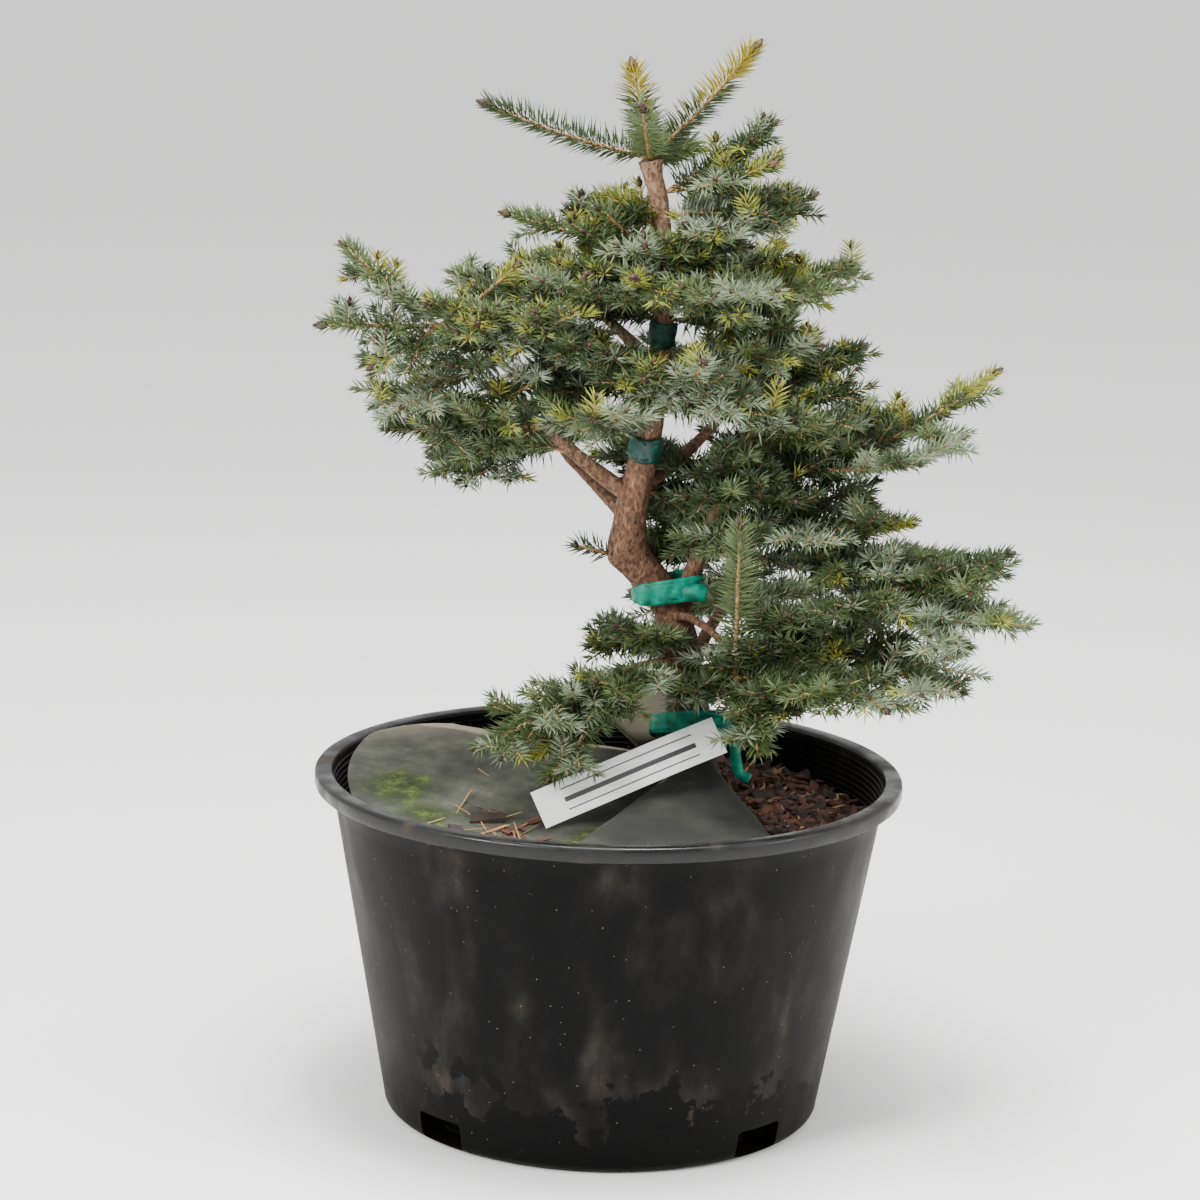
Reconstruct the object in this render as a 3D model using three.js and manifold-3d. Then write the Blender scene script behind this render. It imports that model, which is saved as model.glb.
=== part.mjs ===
// A young golden Serbian spruce in a squat black nursery pot.
// Millimetres, +Z up, the viewer at -Y. The origin is the middle of the pot's underside.
import * as THREE from "three";
import { mergeVertices } from "three/addons/utils/BufferGeometryUtils.js";
import Module from "manifold-3d";

const wasm = await Module();
wasm.setup();

// Driving sizes
const CLEAR = 0.3; // gap left between neighbouring pieces
const SEGMENTS = 36; // sides of the pot and of the soil in it
const POT = {
  height: 254,
  rimRadius: 215,
  rimHeight: 12,
  lip: 13,
  wallRadiusTop: 202,
  footRadius: 161,
  footRound: 9,
  wall: 2.6,
  floor: 5,
  ribs: 2,
  ribPitch: 8,
  ribDepth: 1.4,
};
const DRAIN = { width: 42, height: 21, depth: 34, sill: 2, count: 4, firstDeg: 45 };
const SOIL = { level: 219, mound: 18, moundSpread: 60 };
const FOOT = { x: 63, y: 42 }; // where the trunk stands in the pot
const MAT = { thick: 1.8, radius: 191, inner: 27, cornerShare: 0.14, columns: 7, rows: 3 };
const TAPE = { width: 17, thick: 0.9, slack: 1.4, sides: 12 };
const LOOP = { power: 2.5, corners: 24 };
const TAG = { length: 148, width: 28, thick: 0.8, bow: 5 };
const LIMB_SIDES = { trunk: 8, other: 6 };
const LIMB_GAP = 1.4 * CLEAR; // what pieces that meet a limb leave round it
const SMALLEST_DETAIL = 0.25; // shorter edges of a mass are merged
const FIRST_SEED = 1000;
const SEED_STEP = 77;
const ARM = { pieces: 3, base: 3.1, tip: 2.4, hub: 4.5, band: 24 };
const SHOOT = { base: 0.9, belly: 3, tip: 2.2, band: 24 };
const NEEDLE = { length: 17, lean: 50 };

// Materials
const finish = (color, roughness) => new THREE.MeshStandardMaterial({ color, roughness, metalness: 0 });
const BLACK_PLASTIC = finish(0x26272a, 0.55);
const BARK_MIX = finish(0x3a2a20, 0.95);
const WEED_MAT = finish(0x4b4f49, 0.8);
const BARK = finish(0x7d5f4b, 0.9);
const GREEN_TAPE = finish(0x159a7b, 0.5);
const WHITE_LABEL = finish(0xf2f2f0, 0.5);
const NEEDLES = finish(0x44604c, 0.7);

// The trunk and its limbs: each point is [x, y, z, radius], from the root end to the tip.
const LIMBS = {
  trunk: [
    [FOOT.x, FOOT.y, 229, 24],
    [61, 42, 250, 19],
    [57, 42, 290, 16],
    [50, 40, 335, 14.5],
    [40, 38, 372, 13.5],
    [15, 31, 405, 13],
    [10, 27, 424, 13],
    [12, 25, 450, 11.5],
    [21, 22, 495, 10],
    [26, 20, 540, 9],
    [30, 18, 576, 8],
    [29, 16, 627, 7],
    [26, 16, 663, 6.5],
    [20, 16, 688, 7],
    [18, 16, 698, 9.5],
  ],
  second_stem: [
    [44, 39, 352, 8],
    [60, 38, 401, 6.8],
    [74, 36, 439, 6.2],
    [86, 32, 466, 5.6],
    [95, 30, 496, 5],
    [100, 28, 526, 4],
  ],
  left_upper_bough: [
    [26, 20, 545, 5.5],
    [-20, 8, 556, 4.5],
    [-72, -5, 573, 3.8],
    [-128, -14, 579, 3],
  ],
  left_lower_bough: [
    [12, 26, 452, 7],
    [-20, 18, 476, 5.5],
    [-53, 5, 506, 4.2],
  ],
  right_low_bough: [
    [54, 41, 312, 7],
    [98, 14, 338, 5.5],
    [142, -8, 368, 4.6],
    [180, -28, 394, 3.6],
  ],
  bent_front_twig: [
    [42, 38, 362, 4],
    [58, 10, 366, 3],
    [78, -16, 356, 2.8],
    [88, -30, 335, 2.6],
  ],
  front_low_bough: [
    [57, 42, 300, 6],
    [66, 10, 326, 4.6],
    [46, -12, 338, 4],
    [20, -20, 338, 3.4],
  ],
  back_low_bough: [
    [56, 42, 305, 6.5],
    [66, 84, 330, 5.2],
    [84, 126, 352, 4],
  ],
  back_left_bough: [
    [10, 27, 434, 6],
    [-12, 60, 452, 5],
    [-42, 96, 474, 3.8],
  ],
  back_right_bough: [
    [14, 25, 456, 6],
    [44, 62, 474, 4.8],
    [76, 98, 500, 3.6],
  ],
  back_upper_bough: [
    [27, 19, 550, 5],
    [4, 54, 566, 4.2],
    [-22, 88, 584, 3.2],
  ],
};

// The masses of foliage. Each springs from one point, a share of the way up its limb. An arm is
// [turn and rise in degrees, length, bow in degrees, number of side shoots, length of those].
// A turn of 0 points along +X and 90 along +Y.
const MASSES = [
  { name: "crown_whorl", limb: "trunk", share: 1, arms: [
    [-9, 48, 106, 3, 0, 0], [116, 62, 68, 0, 0, 0], [-96, 32, 72, 5, 0, 0],
    [-169, 17, 122, 4, 0, 0], [66, 4, 72, 4, 1, 24]] },
  { name: "crown_right", limb: "trunk", share: 0.945, arms: [
    [-20, 34, 92, 3, 2, 30], [-37, 16, 90, 5, 3, 36]] },
  { name: "crown_back", limb: "trunk", share: 0.9, arms: [
    [120, 8, 86, 4, 3, 34], [175, 6, 62, 3, 2, 26]] },
  { name: "upper_left", limb: "trunk", share: 0.865, arms: [
    [-165, 13, 108, 3, 2, 30], [-140, 32, 58, 4, 0, 0]] },
  { name: "upper_left_low", limb: "trunk", share: 0.82, arms: [
    [-158, 2, 98, 3, 3, 44], [-128, 8, 70, 3, 2, 34]] },
  { name: "upper_right", limb: "trunk", share: 0.85, arms: [
    [-9, 26, 106, 4, 3, 44], [-45, 24, 88, 4, 3, 38]] },
  { name: "upper_right_far", limb: "trunk", share: 0.8, arms: [
    [5, 8, 130, 3, 4, 50], [40, 16, 104, 3, 3, 44]] },
  { name: "upper_front", limb: "trunk", share: 0.83, arms: [
    [-100, 20, 74, 5, 2, 30], [-72, 26, 66, 5, 2, 28]] },
  { name: "upper_front_low", limb: "trunk", share: 0.79, arms: [
    [-103, 16, 86, 4, 3, 36], [-138, 6, 92, 4, 3, 38]] },
  { name: "front_right_tuft", limb: "trunk", share: 0.785, arms: [
    [-52, 11, 116, 4, 4, 46]] },
  { name: "upper_back", limb: "trunk", share: 0.81, arms: [
    [95, 12, 108, 4, 3, 44], [142, 6, 104, 3, 3, 44]] },
  { name: "middle_right", limb: "trunk", share: 0.7, arms: [
    [-20, 9, 108, 3, 3, 50]] },
  { name: "middle_front", limb: "trunk", share: 0.68, arms: [
    [-95, 6, 92, 4, 3, 40]] },
  { name: "front_right_rise", limb: "trunk", share: 0.625, arms: [
    [-75, 22, 130, 8, 3, 44], [-38, 4, 104, 3, 3, 46]] },
  { name: "middle_back", limb: "trunk", share: 0.67, arms: [
    [62, 8, 122, 4, 4, 50]] },
  { name: "left_front_tuft", limb: "left_upper_bough", share: 0.36, arms: [
    [-112, 25, 86, 4, 3, 38], [-168, -30, 106, 6, 4, 44]] },
  { name: "left_middle", limb: "left_upper_bough", share: 0.55, arms: [
    [-172, -22, 122, 3, 4, 50], [158, -4, 84, 3, 3, 40]] },
  { name: "left_tips", limb: "left_upper_bough", share: 1, arms: [
    [-167, 40, 88, 2, 2, 26], [-172, 0, 80, 0, 2, 30], [-25, 38, 76, 4, 0, 0],
    [-140, -24, 60, 4, 2, 28]] },
  { name: "left_lower_tips", limb: "left_lower_bough", share: 1, arms: [
    [-160, 0, 116, 3, 4, 46], [-168, -22, 66, 3, 2, 34]] },
  { name: "left_lower_back", limb: "left_lower_bough", share: 0.6, arms: [
    [158, 14, 118, 3, 4, 48]] },
  { name: "left_front_low", limb: "trunk", share: 0.6, arms: [
    [-110, 10, 110, 4, 3, 44], [-150, 4, 78, 3, 2, 36]] },
  { name: "stem_top", limb: "second_stem", share: 1, arms: [
    [-80, 62, 62, 2, 0, 0], [-18, 29, 86, 4, 3, 36], [70, 34, 92, 4, 3, 40]] },
  { name: "stem_right", limb: "second_stem", share: 0.82, arms: [
    [0, 12, 108, 4, 3, 44], [-60, 18, 88, 4, 3, 38]] },
  { name: "stem_back_right", limb: "second_stem", share: 0.72, arms: [
    [48, 12, 150, 3, 4, 54]] },
  { name: "long_right", limb: "second_stem", share: 0.62, arms: [
    [-13, 27, 207, 10, 5, 44]] },
  { name: "right_middle", limb: "second_stem", share: 0.5, arms: [
    [-25, 3, 142, 3, 4, 54], [-75, -6, 70, 3, 2, 34]] },
  { name: "right_low", limb: "second_stem", share: 0.33, arms: [
    [-15, 4, 186, 4, 6, 56]] },
  { name: "stem_back_low", limb: "second_stem", share: 0.26, arms: [
    [76, 10, 118, 3, 5, 50], [118, 6, 76, 3, 2, 40]] },
  { name: "low_right_tips", limb: "right_low_bough", share: 1, arms: [
    [-18, 21, 108, 3, 4, 44], [-23, -5, 118, 3, 4, 46]] },
  { name: "low_right_under", limb: "right_low_bough", share: 0.6, arms: [
    [-36, -8, 140, 1, 4, 54], [-58, -16, 112, 1, 3, 46]] },
  { name: "low_right_back", limb: "right_low_bough", share: 0.72, arms: [
    [34, -2, 146, 3, 4, 54]] },
  { name: "front_spray", limb: "bent_front_twig", share: 1, arms: [
    [-92, 72, 122, 2, 0, 0], [-70, -42, 66, -6, 2, 26], [-38, 3, 66, 3, 2, 34]] },
  { name: "low_front_tuft", limb: "trunk", share: 0.235, arms: [
    [-118, 17, 84, 4, 2, 30], [-162, -2, 60, 2, 2, 22]] },
  { name: "knob_twig", limb: "trunk", share: 0.385, arms: [[-172, 14, 30, 0, 0, 0]] },
  { name: "droop", limb: "front_low_bough", share: 1, arms: [
    [-158, -24, 132, 1, 5, 42], [-132, -38, 112, 2, 3, 34], [-100, -8, 64, 3, 2, 28]] },
  { name: "back_low", limb: "back_low_bough", share: 1, arms: [
    [62, -2, 120, 3, 4, 52], [112, -10, 118, 3, 4, 50]] },
  { name: "back_left", limb: "back_left_bough", share: 1, arms: [
    [138, 4, 122, 3, 4, 50], [-170, -4, 96, 3, 3, 44], [96, 12, 100, 3, 3, 46]] },
  { name: "back_right", limb: "back_right_bough", share: 1, arms: [
    [36, 8, 112, 3, 3, 48], [92, 12, 102, 3, 4, 48]] },
  { name: "back_upper", limb: "back_upper_bough", share: 1, arms: [
    [114, 16, 100, 3, 3, 44], [172, 6, 104, 3, 4, 44]] },
];

// Solids: a closed geometry as a solid, and a solid as a geometry.
function solidOf(geometry) {
  const bare = geometry.clone();
  bare.deleteAttribute("normal");
  bare.deleteAttribute("uv");
  const merged = mergeVertices(bare, 1e-4);
  return new wasm.Manifold(new wasm.Mesh({
    numProp: 3,
    vertProperties: new Float32Array(merged.attributes.position.array),
    triVerts: new Uint32Array(merged.index.array),
  }));
}

function geometryOf(solid) {
  const mesh = solid.getMesh();
  const places = new Float32Array(mesh.numVert * 3);
  for (let i = 0; i < mesh.numVert; i++) {
    places.set(mesh.vertProperties.subarray(i * mesh.numProp, i * mesh.numProp + 3), i * 3);
  }
  const geometry = new THREE.BufferGeometry();
  geometry.setAttribute("position", new THREE.BufferAttribute(places, 3));
  geometry.setIndex(new THREE.BufferAttribute(mesh.triVerts, 1));
  geometry.computeVertexNormals();
  return geometry;
}

// The largest of a solid's bodies: what a cut leaves loose is dropped.
function largestBody(solid) {
  return solid.decompose().reduce((most, body) => (body.volume() > most.volume() ? body : most));
}

const part = new THREE.Group();
const placed = []; // every solid that later foliage has to stay clear of

function place(name, solid, material) {
  const mesh = new THREE.Mesh(geometryOf(solid), material);
  mesh.name = name;
  part.add(mesh);
  placed.push(boxed(solid));
}

function boxed(solid) {
  return { solid, box: solid.boundingBox() };
}

function boxesMeet(a, b, gap) {
  return [0, 1, 2].every((k) => a.min[k] - gap < b.max[k] && b.min[k] - gap < a.max[k]);
}

function isClear(solid, others) {
  const box = solid.boundingBox();
  return others.every((o) => !boxesMeet(box, o.box, CLEAR) || solid.minGap(o.solid, 1) > CLEAR);
}

// Park and Miller's rule: the same seed gives the same twigs each time.
function seeded(seed) {
  let state = seed;
  return () => (state = (state * 48271) % 2147483647) / 2147483647;
}

const radians = THREE.MathUtils.degToRad;

function direction(turn, rise) {
  const level = Math.cos(radians(rise));
  return new THREE.Vector3(
    level * Math.cos(radians(turn)), level * Math.sin(radians(turn)), Math.sin(radians(rise)));
}

// A profile of [radius, height] pairs turned about the Z axis.
function turned(profile, segments = SEGMENTS) {
  const points = profile.map(([r, z]) => new THREE.Vector2(r, z));
  return new THREE.LatheGeometry(points, segments).rotateX(Math.PI / 2);
}

// Pot
const wallOutside = (z) =>
  THREE.MathUtils.mapLinear(z, POT.footRound, POT.height - POT.rimHeight, POT.footRadius, POT.wallRadiusTop);
const wallInside = (z) => wallOutside(z) - POT.wall;

function pot() {
  const { height, rimRadius, rimHeight, lip, footRadius, footRound, wall, floor } = POT;
  const mouth = rimRadius - lip;
  const profile = [
    [0, 0],
    [footRadius - footRound, 0],
    [footRadius - footRound * 0.3, footRound * 0.3],
    [footRadius, footRound],
    [POT.wallRadiusTop, height - rimHeight],
    [rimRadius - 1, height - rimHeight],
    [rimRadius, height - rimHeight + 1.5],
    [rimRadius, height - 2],
    [rimRadius - 2, height],
    [mouth + 1, height],
    [mouth, height - 1.5],
  ];
  for (let i = 0; i < POT.ribs; i++) {
    const z = height - 5 - i * POT.ribPitch;
    profile.push([wallInside(z) + POT.ribDepth, z], [wallInside(z - 2), z - 2]);
  }
  profile.push(
    [wallInside(floor + footRound), floor + footRound],
    [footRadius - footRound - wall, floor],
    [0, floor],
  );
  let solid = solidOf(turned(profile));
  const drain = solidOf(
    new THREE.BoxGeometry(DRAIN.depth, DRAIN.width, DRAIN.height)
      .translate(footRadius - DRAIN.depth / 2 + footRound, 0, DRAIN.sill + DRAIN.height / 2));
  for (let i = 0; i < DRAIN.count; i++) {
    solid = solid.subtract(drain.rotate([0, 0, DRAIN.firstDeg + (i * 360) / DRAIN.count]));
  }
  return solid;
}

// Potting soil: fills the pot, and is heaped a little round the trunk.
function soilHeight(x, y) {
  const away = Math.hypot(x - FOOT.x, y - FOOT.y) / SOIL.moundSpread;
  return SOIL.level + SOIL.mound * Math.exp(-away * away / 2);
}

function soil() {
  const { floor, footRound, footRadius, wall } = POT;
  const bottom = floor + CLEAR;
  const profile = [
    [0, bottom],
    [footRadius - footRound - wall - 1, bottom],
    [wallInside(floor + footRound) - CLEAR, floor + footRound],
    [wallInside(SOIL.level) - CLEAR, SOIL.level],
    [150, SOIL.level],
    [112, SOIL.level],
    [82, SOIL.level],
    [48, SOIL.level],
    [0, SOIL.level],
  ];
  const geometry = turned(profile);
  const at = geometry.attributes.position;
  for (let i = 0; i < at.count; i++) {
    if (at.getZ(i) > SOIL.level - 1 && Math.hypot(at.getX(i), at.getY(i)) < wallInside(SOIL.level) - 1) {
      at.setZ(i, soilHeight(at.getX(i), at.getY(i)));
    }
  }
  return solidOf(geometry);
}

// A flap of the round weed mat: a thin bent sheet between two cuts that run out from the trunk.
// near and far are heights over the ground by the trunk and at the far edge, at each cut.
function matFlap({ fromDeg, toDeg, ...shape }) {
  const { columns, rows, thick } = MAT;
  const geometry = new THREE.BoxGeometry(1, 1, 1, columns, rows, 1);
  const at = geometry.attributes.position;
  for (let i = 0; i < at.count; i++) {
    const u = 0.5 - at.getX(i);
    const v = at.getY(i) + 0.5;
    const turn = radians(THREE.MathUtils.lerp(fromDeg, toDeg, u));
    const [x, y, z] = matPoint(turn, u, v, shape);
    at.setXYZ(i, x, y, z + (at.getZ(i) > 0 ? thick : 0));
  }
  return solidOf(geometry);
}

function matPoint(turn, u, v, { near, far, reach, cornerDrop }) {
  const dx = Math.cos(turn);
  const dy = Math.sin(turn);
  const along = FOOT.x * dx + FOOT.y * dy;
  const toWall = -along + Math.sqrt(along ** 2 - FOOT.x ** 2 - FOOT.y ** 2 + MAT.radius ** 2);
  const corner = cornerDrop * Math.max(0, 1 - Math.min(u, 1 - u) / MAT.cornerShare) ** 2;
  const out = THREE.MathUtils.lerp(MAT.inner, Math.min(reach, toWall) - corner, v);
  const x = FOOT.x + out * dx;
  const y = FOOT.y + out * dy;
  const ease = u * u * (3 - 2 * u);
  const height = THREE.MathUtils.lerp(
    THREE.MathUtils.lerp(near[0], near[1], ease), THREE.MathUtils.lerp(far[0], far[1], ease), v ** 0.8);
  return [x, y, Math.max(height, soilHeight(x, y) + CLEAR + 0.2)];
}

const MAT_FLAPS = {
  weed_mat_left: { fromDeg: 164, toDeg: 242, near: [250, 240], far: [260, 216], reach: 400, cornerDrop: 42 },
  weed_mat_front: { fromDeg: 245, toDeg: 298, near: [252, 256], far: [232, 214], reach: 400, cornerDrop: 42 },
  weed_mat_back: { fromDeg: 98, toDeg: 154, near: [235, 235], far: [294, 276], reach: 84, cornerDrop: 5 },
};

// A limb: its taper is turned as a lathe profile, and then bent along its points.
function limbSolid(points, sides, grow = 0) {
  const last = points.length - 1;
  const profile = [[0, 0], ...points.map((p, i) => [p[3] + grow, i]), [0, last]];
  const geometry = new THREE.LatheGeometry(profile.map(([r, i]) => new THREE.Vector2(r, i)), sides);
  const at = geometry.attributes.position;
  const centres = points.map((p) => new THREE.Vector3(p[0], p[1], p[2]));
  const frames = pathFrames(centres);
  const ends = [-grow, grow];
  for (let i = 0; i < at.count; i++) {
    const ring = Math.round(at.getY(i));
    const { ahead, across, over } = frames[ring];
    const spot = centres[ring].clone()
      .addScaledVector(across, at.getX(i))
      .addScaledVector(over, -at.getZ(i));
    if (ring === 0) spot.addScaledVector(ahead, ends[0]);
    if (ring === last) spot.addScaledVector(ahead, ends[1]);
    at.setXYZ(i, spot.x, spot.y, spot.z);
  }
  return solidOf(geometry);
}

// The centre, radius and way of a limb a share of the way along it.
function limbAt(points, share) {
  const centres = points.map(([x, y, z]) => new THREE.Vector3(x, y, z));
  const steps = centres.slice(1).map((centre, i) => centre.distanceTo(centres[i]));
  let left = share * steps.reduce((sum, step) => sum + step, 0);
  let i = 0;
  while (i < steps.length - 1 && left > steps[i]) left -= steps[i++];
  const t = Math.min(left / steps[i], 1);
  const centre = centres[i].clone().lerp(centres[i + 1], t);
  const way = centres[i + 1].clone().sub(centres[i]).normalize();
  return { centre, way, radius: THREE.MathUtils.lerp(points[i][3], points[i + 1][3], t) };
}

// The sideways axes of each point of a path, square to the way it runs there.
function pathFrames(centres) {
  const last = centres.length - 1;
  return centres.map((c, i) => {
    const ahead = centres[Math.min(i + 1, last)].clone().sub(centres[Math.max(i - 1, 0)]).normalize();
    const across = new THREE.Vector3(0, 1, 0).cross(ahead);
    if (across.length() < 0.2) across.set(1, 0, 0).cross(ahead);
    across.normalize();
    return { ahead, across, over: ahead.clone().cross(across) };
  });
}

// A shoot and its needles: a three-sided body that twists a sixth of a turn from ring to ring and
// ends in a point, where a needle stands out of each face that is let have one.
function needled(centres, radii, allowed) {
  const frames = pathFrames(centres);
  const tipRing = centres.length - 1;
  const ringPoint = (i, j) => {
    const turn = radians(120 * j + 60 * i);
    return centres[i].clone()
      .addScaledVector(frames[i].across, radii[i] * Math.cos(turn))
      .addScaledVector(frames[i].over, radii[i] * Math.sin(turn));
  };
  const corners = [];
  const addFace = (p, q, r) => corners.push(...p, ...q, ...r);
  const addNeedle = (i, p, q, r) => {
    const root = p.clone().add(q).add(r).divideScalar(3);
    const { ahead } = frames[i];
    const middle = centres[i].clone().addScaledVector(ahead, root.clone().sub(centres[i]).dot(ahead));
    const out = root.clone().sub(middle).normalize();
    const tip = root.clone()
      .addScaledVector(out, NEEDLE.length * Math.sin(radians(NEEDLE.lean)))
      .addScaledVector(ahead, NEEDLE.length * Math.cos(radians(NEEDLE.lean)));
    if (!allowed([middle, p, q, r, tip])) return addFace(p, q, r);
    addFace(p, q, tip);
    addFace(q, r, tip);
    addFace(r, p, tip);
  };
  addFace(ringPoint(0, 0), ringPoint(0, 2), ringPoint(0, 1));
  for (let j = 0; j < 3; j++) {
    for (let i = 0; i < tipRing - 1; i++) {
      addNeedle(i, ringPoint(i, j), ringPoint(i, j + 1), ringPoint(i + 1, j));
      addFace(ringPoint(i, j + 1), ringPoint(i + 1, j + 1), ringPoint(i + 1, j));
    }
    addFace(ringPoint(tipRing - 1, j), ringPoint(tipRing - 1, j + 1), centres[tipRing]);
  }
  const geometry = new THREE.BufferGeometry();
  geometry.setAttribute("position", new THREE.Float32BufferAttribute(corners, 3));
  return solidOf(geometry);
}

function armPoints(start, [turn, rise, length, bow]) {
  const points = [start.clone()];
  for (let i = 0; i < ARM.pieces; i++) {
    const way = direction(turn, rise + bow * (i - 1));
    points.push(points[i].clone().addScaledVector(way, length / ARM.pieces));
  }
  return points;
}

function along(points, share) {
  const at = share * (points.length - 1);
  const i = Math.min(Math.floor(at), points.length - 2);
  return points[i].clone().lerp(points[i + 1], at - i);
}

// The side shoots of an arm, left and right by turns, shorter towards its tip.
function sideShoots(points, [turn, rise, , , count, side], random) {
  return Array.from({ length: count }, (_, k) => {
    const hand = k % 2 ? -1 : 1;
    const share = 0.16 + (0.68 * (k + 0.5)) / count;
    const swing = 42 + 20 * random();
    const lift = -14 + 34 * random();
    const long = side * (1.15 - 0.5 * share) * (0.8 + 0.4 * random());
    const from = along(points, share);
    const to = from.clone().addScaledVector(direction(turn + hand * swing, 0.5 * rise + lift), long);
    return { from, to };
  });
}

// Where a mass starts: just outside its limb, or just past the limb's tip.
function springPoint({ limb, share, arms }) {
  const { centre, way, radius } = limbAt(LIMBS[limb], share);
  if (share === 1) return centre.addScaledVector(way, 2);
  return centre.addScaledVector(direction(arms[0][0], arms[0][1]), radius + 2);
}

// The rings of a shoot: thin where it is sunk in its arm, and thickest by its first needles.
function shootRings({ from, to }) {
  const bands = Math.max(2, Math.round(from.distanceTo(to) / SHOOT.band));
  const shares = Array.from({ length: bands + 1 }, (_, i) => (0.86 * i) / bands);
  return {
    centres: [...shares, 1].map((share) => from.clone().lerp(to, share)),
    radii: shares.map((share, i) => (i ? THREE.MathUtils.lerp(SHOOT.belly, SHOOT.tip, share) : SHOOT.base)),
  };
}

// The rings of an arm, from its hub to its pointed tip.
function armRings(points, length) {
  const bands = Math.max(2, Math.round(length / ARM.band));
  const shares = Array.from({ length: bands + 1 }, (_, i) => (0.93 * i) / bands);
  return {
    centres: [...shares, 1].map((share) => along(points, share)),
    radii: shares.map((share) => THREE.MathUtils.lerp(ARM.base, ARM.tip, share)),
  };
}

const bare = () => false;

// A needle is let stand where the space it fills is clear of every neighbour, and where its outer
// part is clear of what else the same mass holds.
const needleClearOf = (others, own) => ([middle, p, q, r, tip]) => {
  const outer = [p, q, r].map((corner) => corner.clone().lerp(tip, 0.1));
  const hullOf = (corners) => wasm.Manifold.hull(corners.map((c) => [c.x, c.y, c.z]));
  return isClear(hullOf([middle, p, q, r, tip]), others) && isClear(hullOf([...outer, tip]), own);
};

function hub(mass) {
  const { x, y, z } = springPoint(mass);
  return solidOf(new THREE.OctahedronGeometry(ARM.hub).translate(x, y, z));
}

// A band of tape round a limb, square to it, at a share of the way up.
const TAPE_SHARES = { middle: 0.566, upper: 0.742 };

function tapeBand(points, share) {
  const { centre, way, radius } = limbAt(points, share);
  const inside = radius + TAPE.slack;
  const outside = inside + TAPE.thick;
  const half = TAPE.width / 2;
  const ring = [[inside, -half], [outside, -half], [outside, half], [inside, half], [inside, -half]];
  const turnTo = new THREE.Quaternion().setFromUnitVectors(new THREE.Vector3(0, 0, 1), way);
  return solidOf(turned(ring, TAPE.sides).applyQuaternion(turnTo).translate(centre.x, centre.y, centre.z));
}

// The corners of an oval that is a little squarer than an ellipse.
function ovalCorners(halfLength, halfDepth) {
  const reach = (v) => Math.sign(v) * Math.abs(v) ** (2 / LOOP.power);
  return Array.from({ length: LOOP.corners }, (_, i) => {
    const turn = (2 * Math.PI * i) / LOOP.corners;
    return new THREE.Vector2(halfLength * reach(Math.cos(turn)), halfDepth * reach(Math.sin(turn)));
  });
}

// An oval loop of tape that lies flat about the origin.
function tapeLoop({ halfLength, halfDepth }, width) {
  const outline = new THREE.Shape(ovalCorners(halfLength + TAPE.thick, halfDepth + TAPE.thick));
  outline.holes.push(new THREE.Path(ovalCorners(halfLength, halfDepth).reverse()));
  const loop = new THREE.ExtrudeGeometry(outline, { depth: width, bevelEnabled: false });
  return loop.translate(0, 0, -width / 2);
}

// The band that ties the second stem to the trunk.
const FORK_TAPE = { x: 40, y: 36.5, z: 383.5, halfLength: 26.5, halfDepth: 17, lean: -6 };

function forkTape() {
  const { x, y, z, lean } = FORK_TAPE;
  return solidOf(tapeLoop(FORK_TAPE, TAPE.width).rotateY(radians(lean)).translate(x, y, z));
}

// The tie that holds the label: a slack loop round the trunk's foot, and its hanging end.
const TAG_TIE = {
  x: 58, y: 40.4, z: 278, halfLength: 28, halfDepth: 25, tilt: -22, width: 13,
  tailX: 88, tailY: 17.6, tailTop: 292, tailDrop: 42, tailFrom: 30,
};

function tagTie() {
  const { x, y, z, tilt, width, tailX, tailY, tailTop, tailDrop, tailFrom } = TAG_TIE;
  const band = solidOf(tapeLoop(TAG_TIE, width).rotateX(radians(tilt)).translate(x, y, z));
  const outline = new THREE.Shape();
  outline.moveTo(-tailFrom, -2).lineTo(0, 1).lineTo(width - 3, 0).lineTo(width, -tailDrop)
    .lineTo(width + 10, -tailDrop - 6).lineTo(width - 2, -tailDrop - 8).lineTo(2, -tailDrop)
    .lineTo(0, -10).lineTo(-tailFrom, -width);
  const tail = solidOf(new THREE.ExtrudeGeometry(outline, { depth: TAPE.thick, bevelEnabled: false })
    .rotateX(Math.PI / 2).translate(tailX - width / 2, tailY, tailTop));
  return band.add(tail);
}

// The label: a long strip, bowed a little, with its far end on the mat.
const TAG_PLACE = { x: 15, y: -49, z: 264.7, turn: 23, rise: 18.2, tilt: 64 };

function tag() {
  const { length, width, thick, bow } = TAG;
  const geometry = new THREE.BoxGeometry(length, width, thick, 8, 1, 1);
  const at = geometry.attributes.position;
  for (let i = 0; i < at.count; i++) {
    const u = (2 * at.getX(i)) / length;
    at.setZ(i, at.getZ(i) + bow * (1 - u * u));
  }
  const { x, y, z, turn, rise, tilt } = TAG_PLACE;
  geometry.rotateX(radians(tilt)).rotateY(-radians(rise)).rotateZ(radians(turn));
  return solidOf(geometry.translate(x, y, z));
}

// Put it together: what stands in the way first, and then the foliage round it.
const limbSolids = {};
const limbSpaces = {};
for (const [name, points] of Object.entries(LIMBS)) {
  const sides = LIMB_SIDES[name] ?? LIMB_SIDES.other;
  let solid = limbSolid(points, sides);
  for (const earlier of Object.keys(limbSolids)) solid = solid.subtract(limbSpaces[earlier]);
  limbSolids[name] = largestBody(solid);
  limbSpaces[name] = limbSolid(points, sides, LIMB_GAP);
}

place("pot", pot(), BLACK_PLASTIC);
place("potting_soil", soil().subtract(limbSpaces.trunk), BARK_MIX);
for (const [name, flap] of Object.entries(MAT_FLAPS)) {
  place(name, matFlap(flap).subtract(limbSpaces.trunk), WEED_MAT);
}
for (const [name, solid] of Object.entries(limbSolids)) place(name, solid, BARK);

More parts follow.
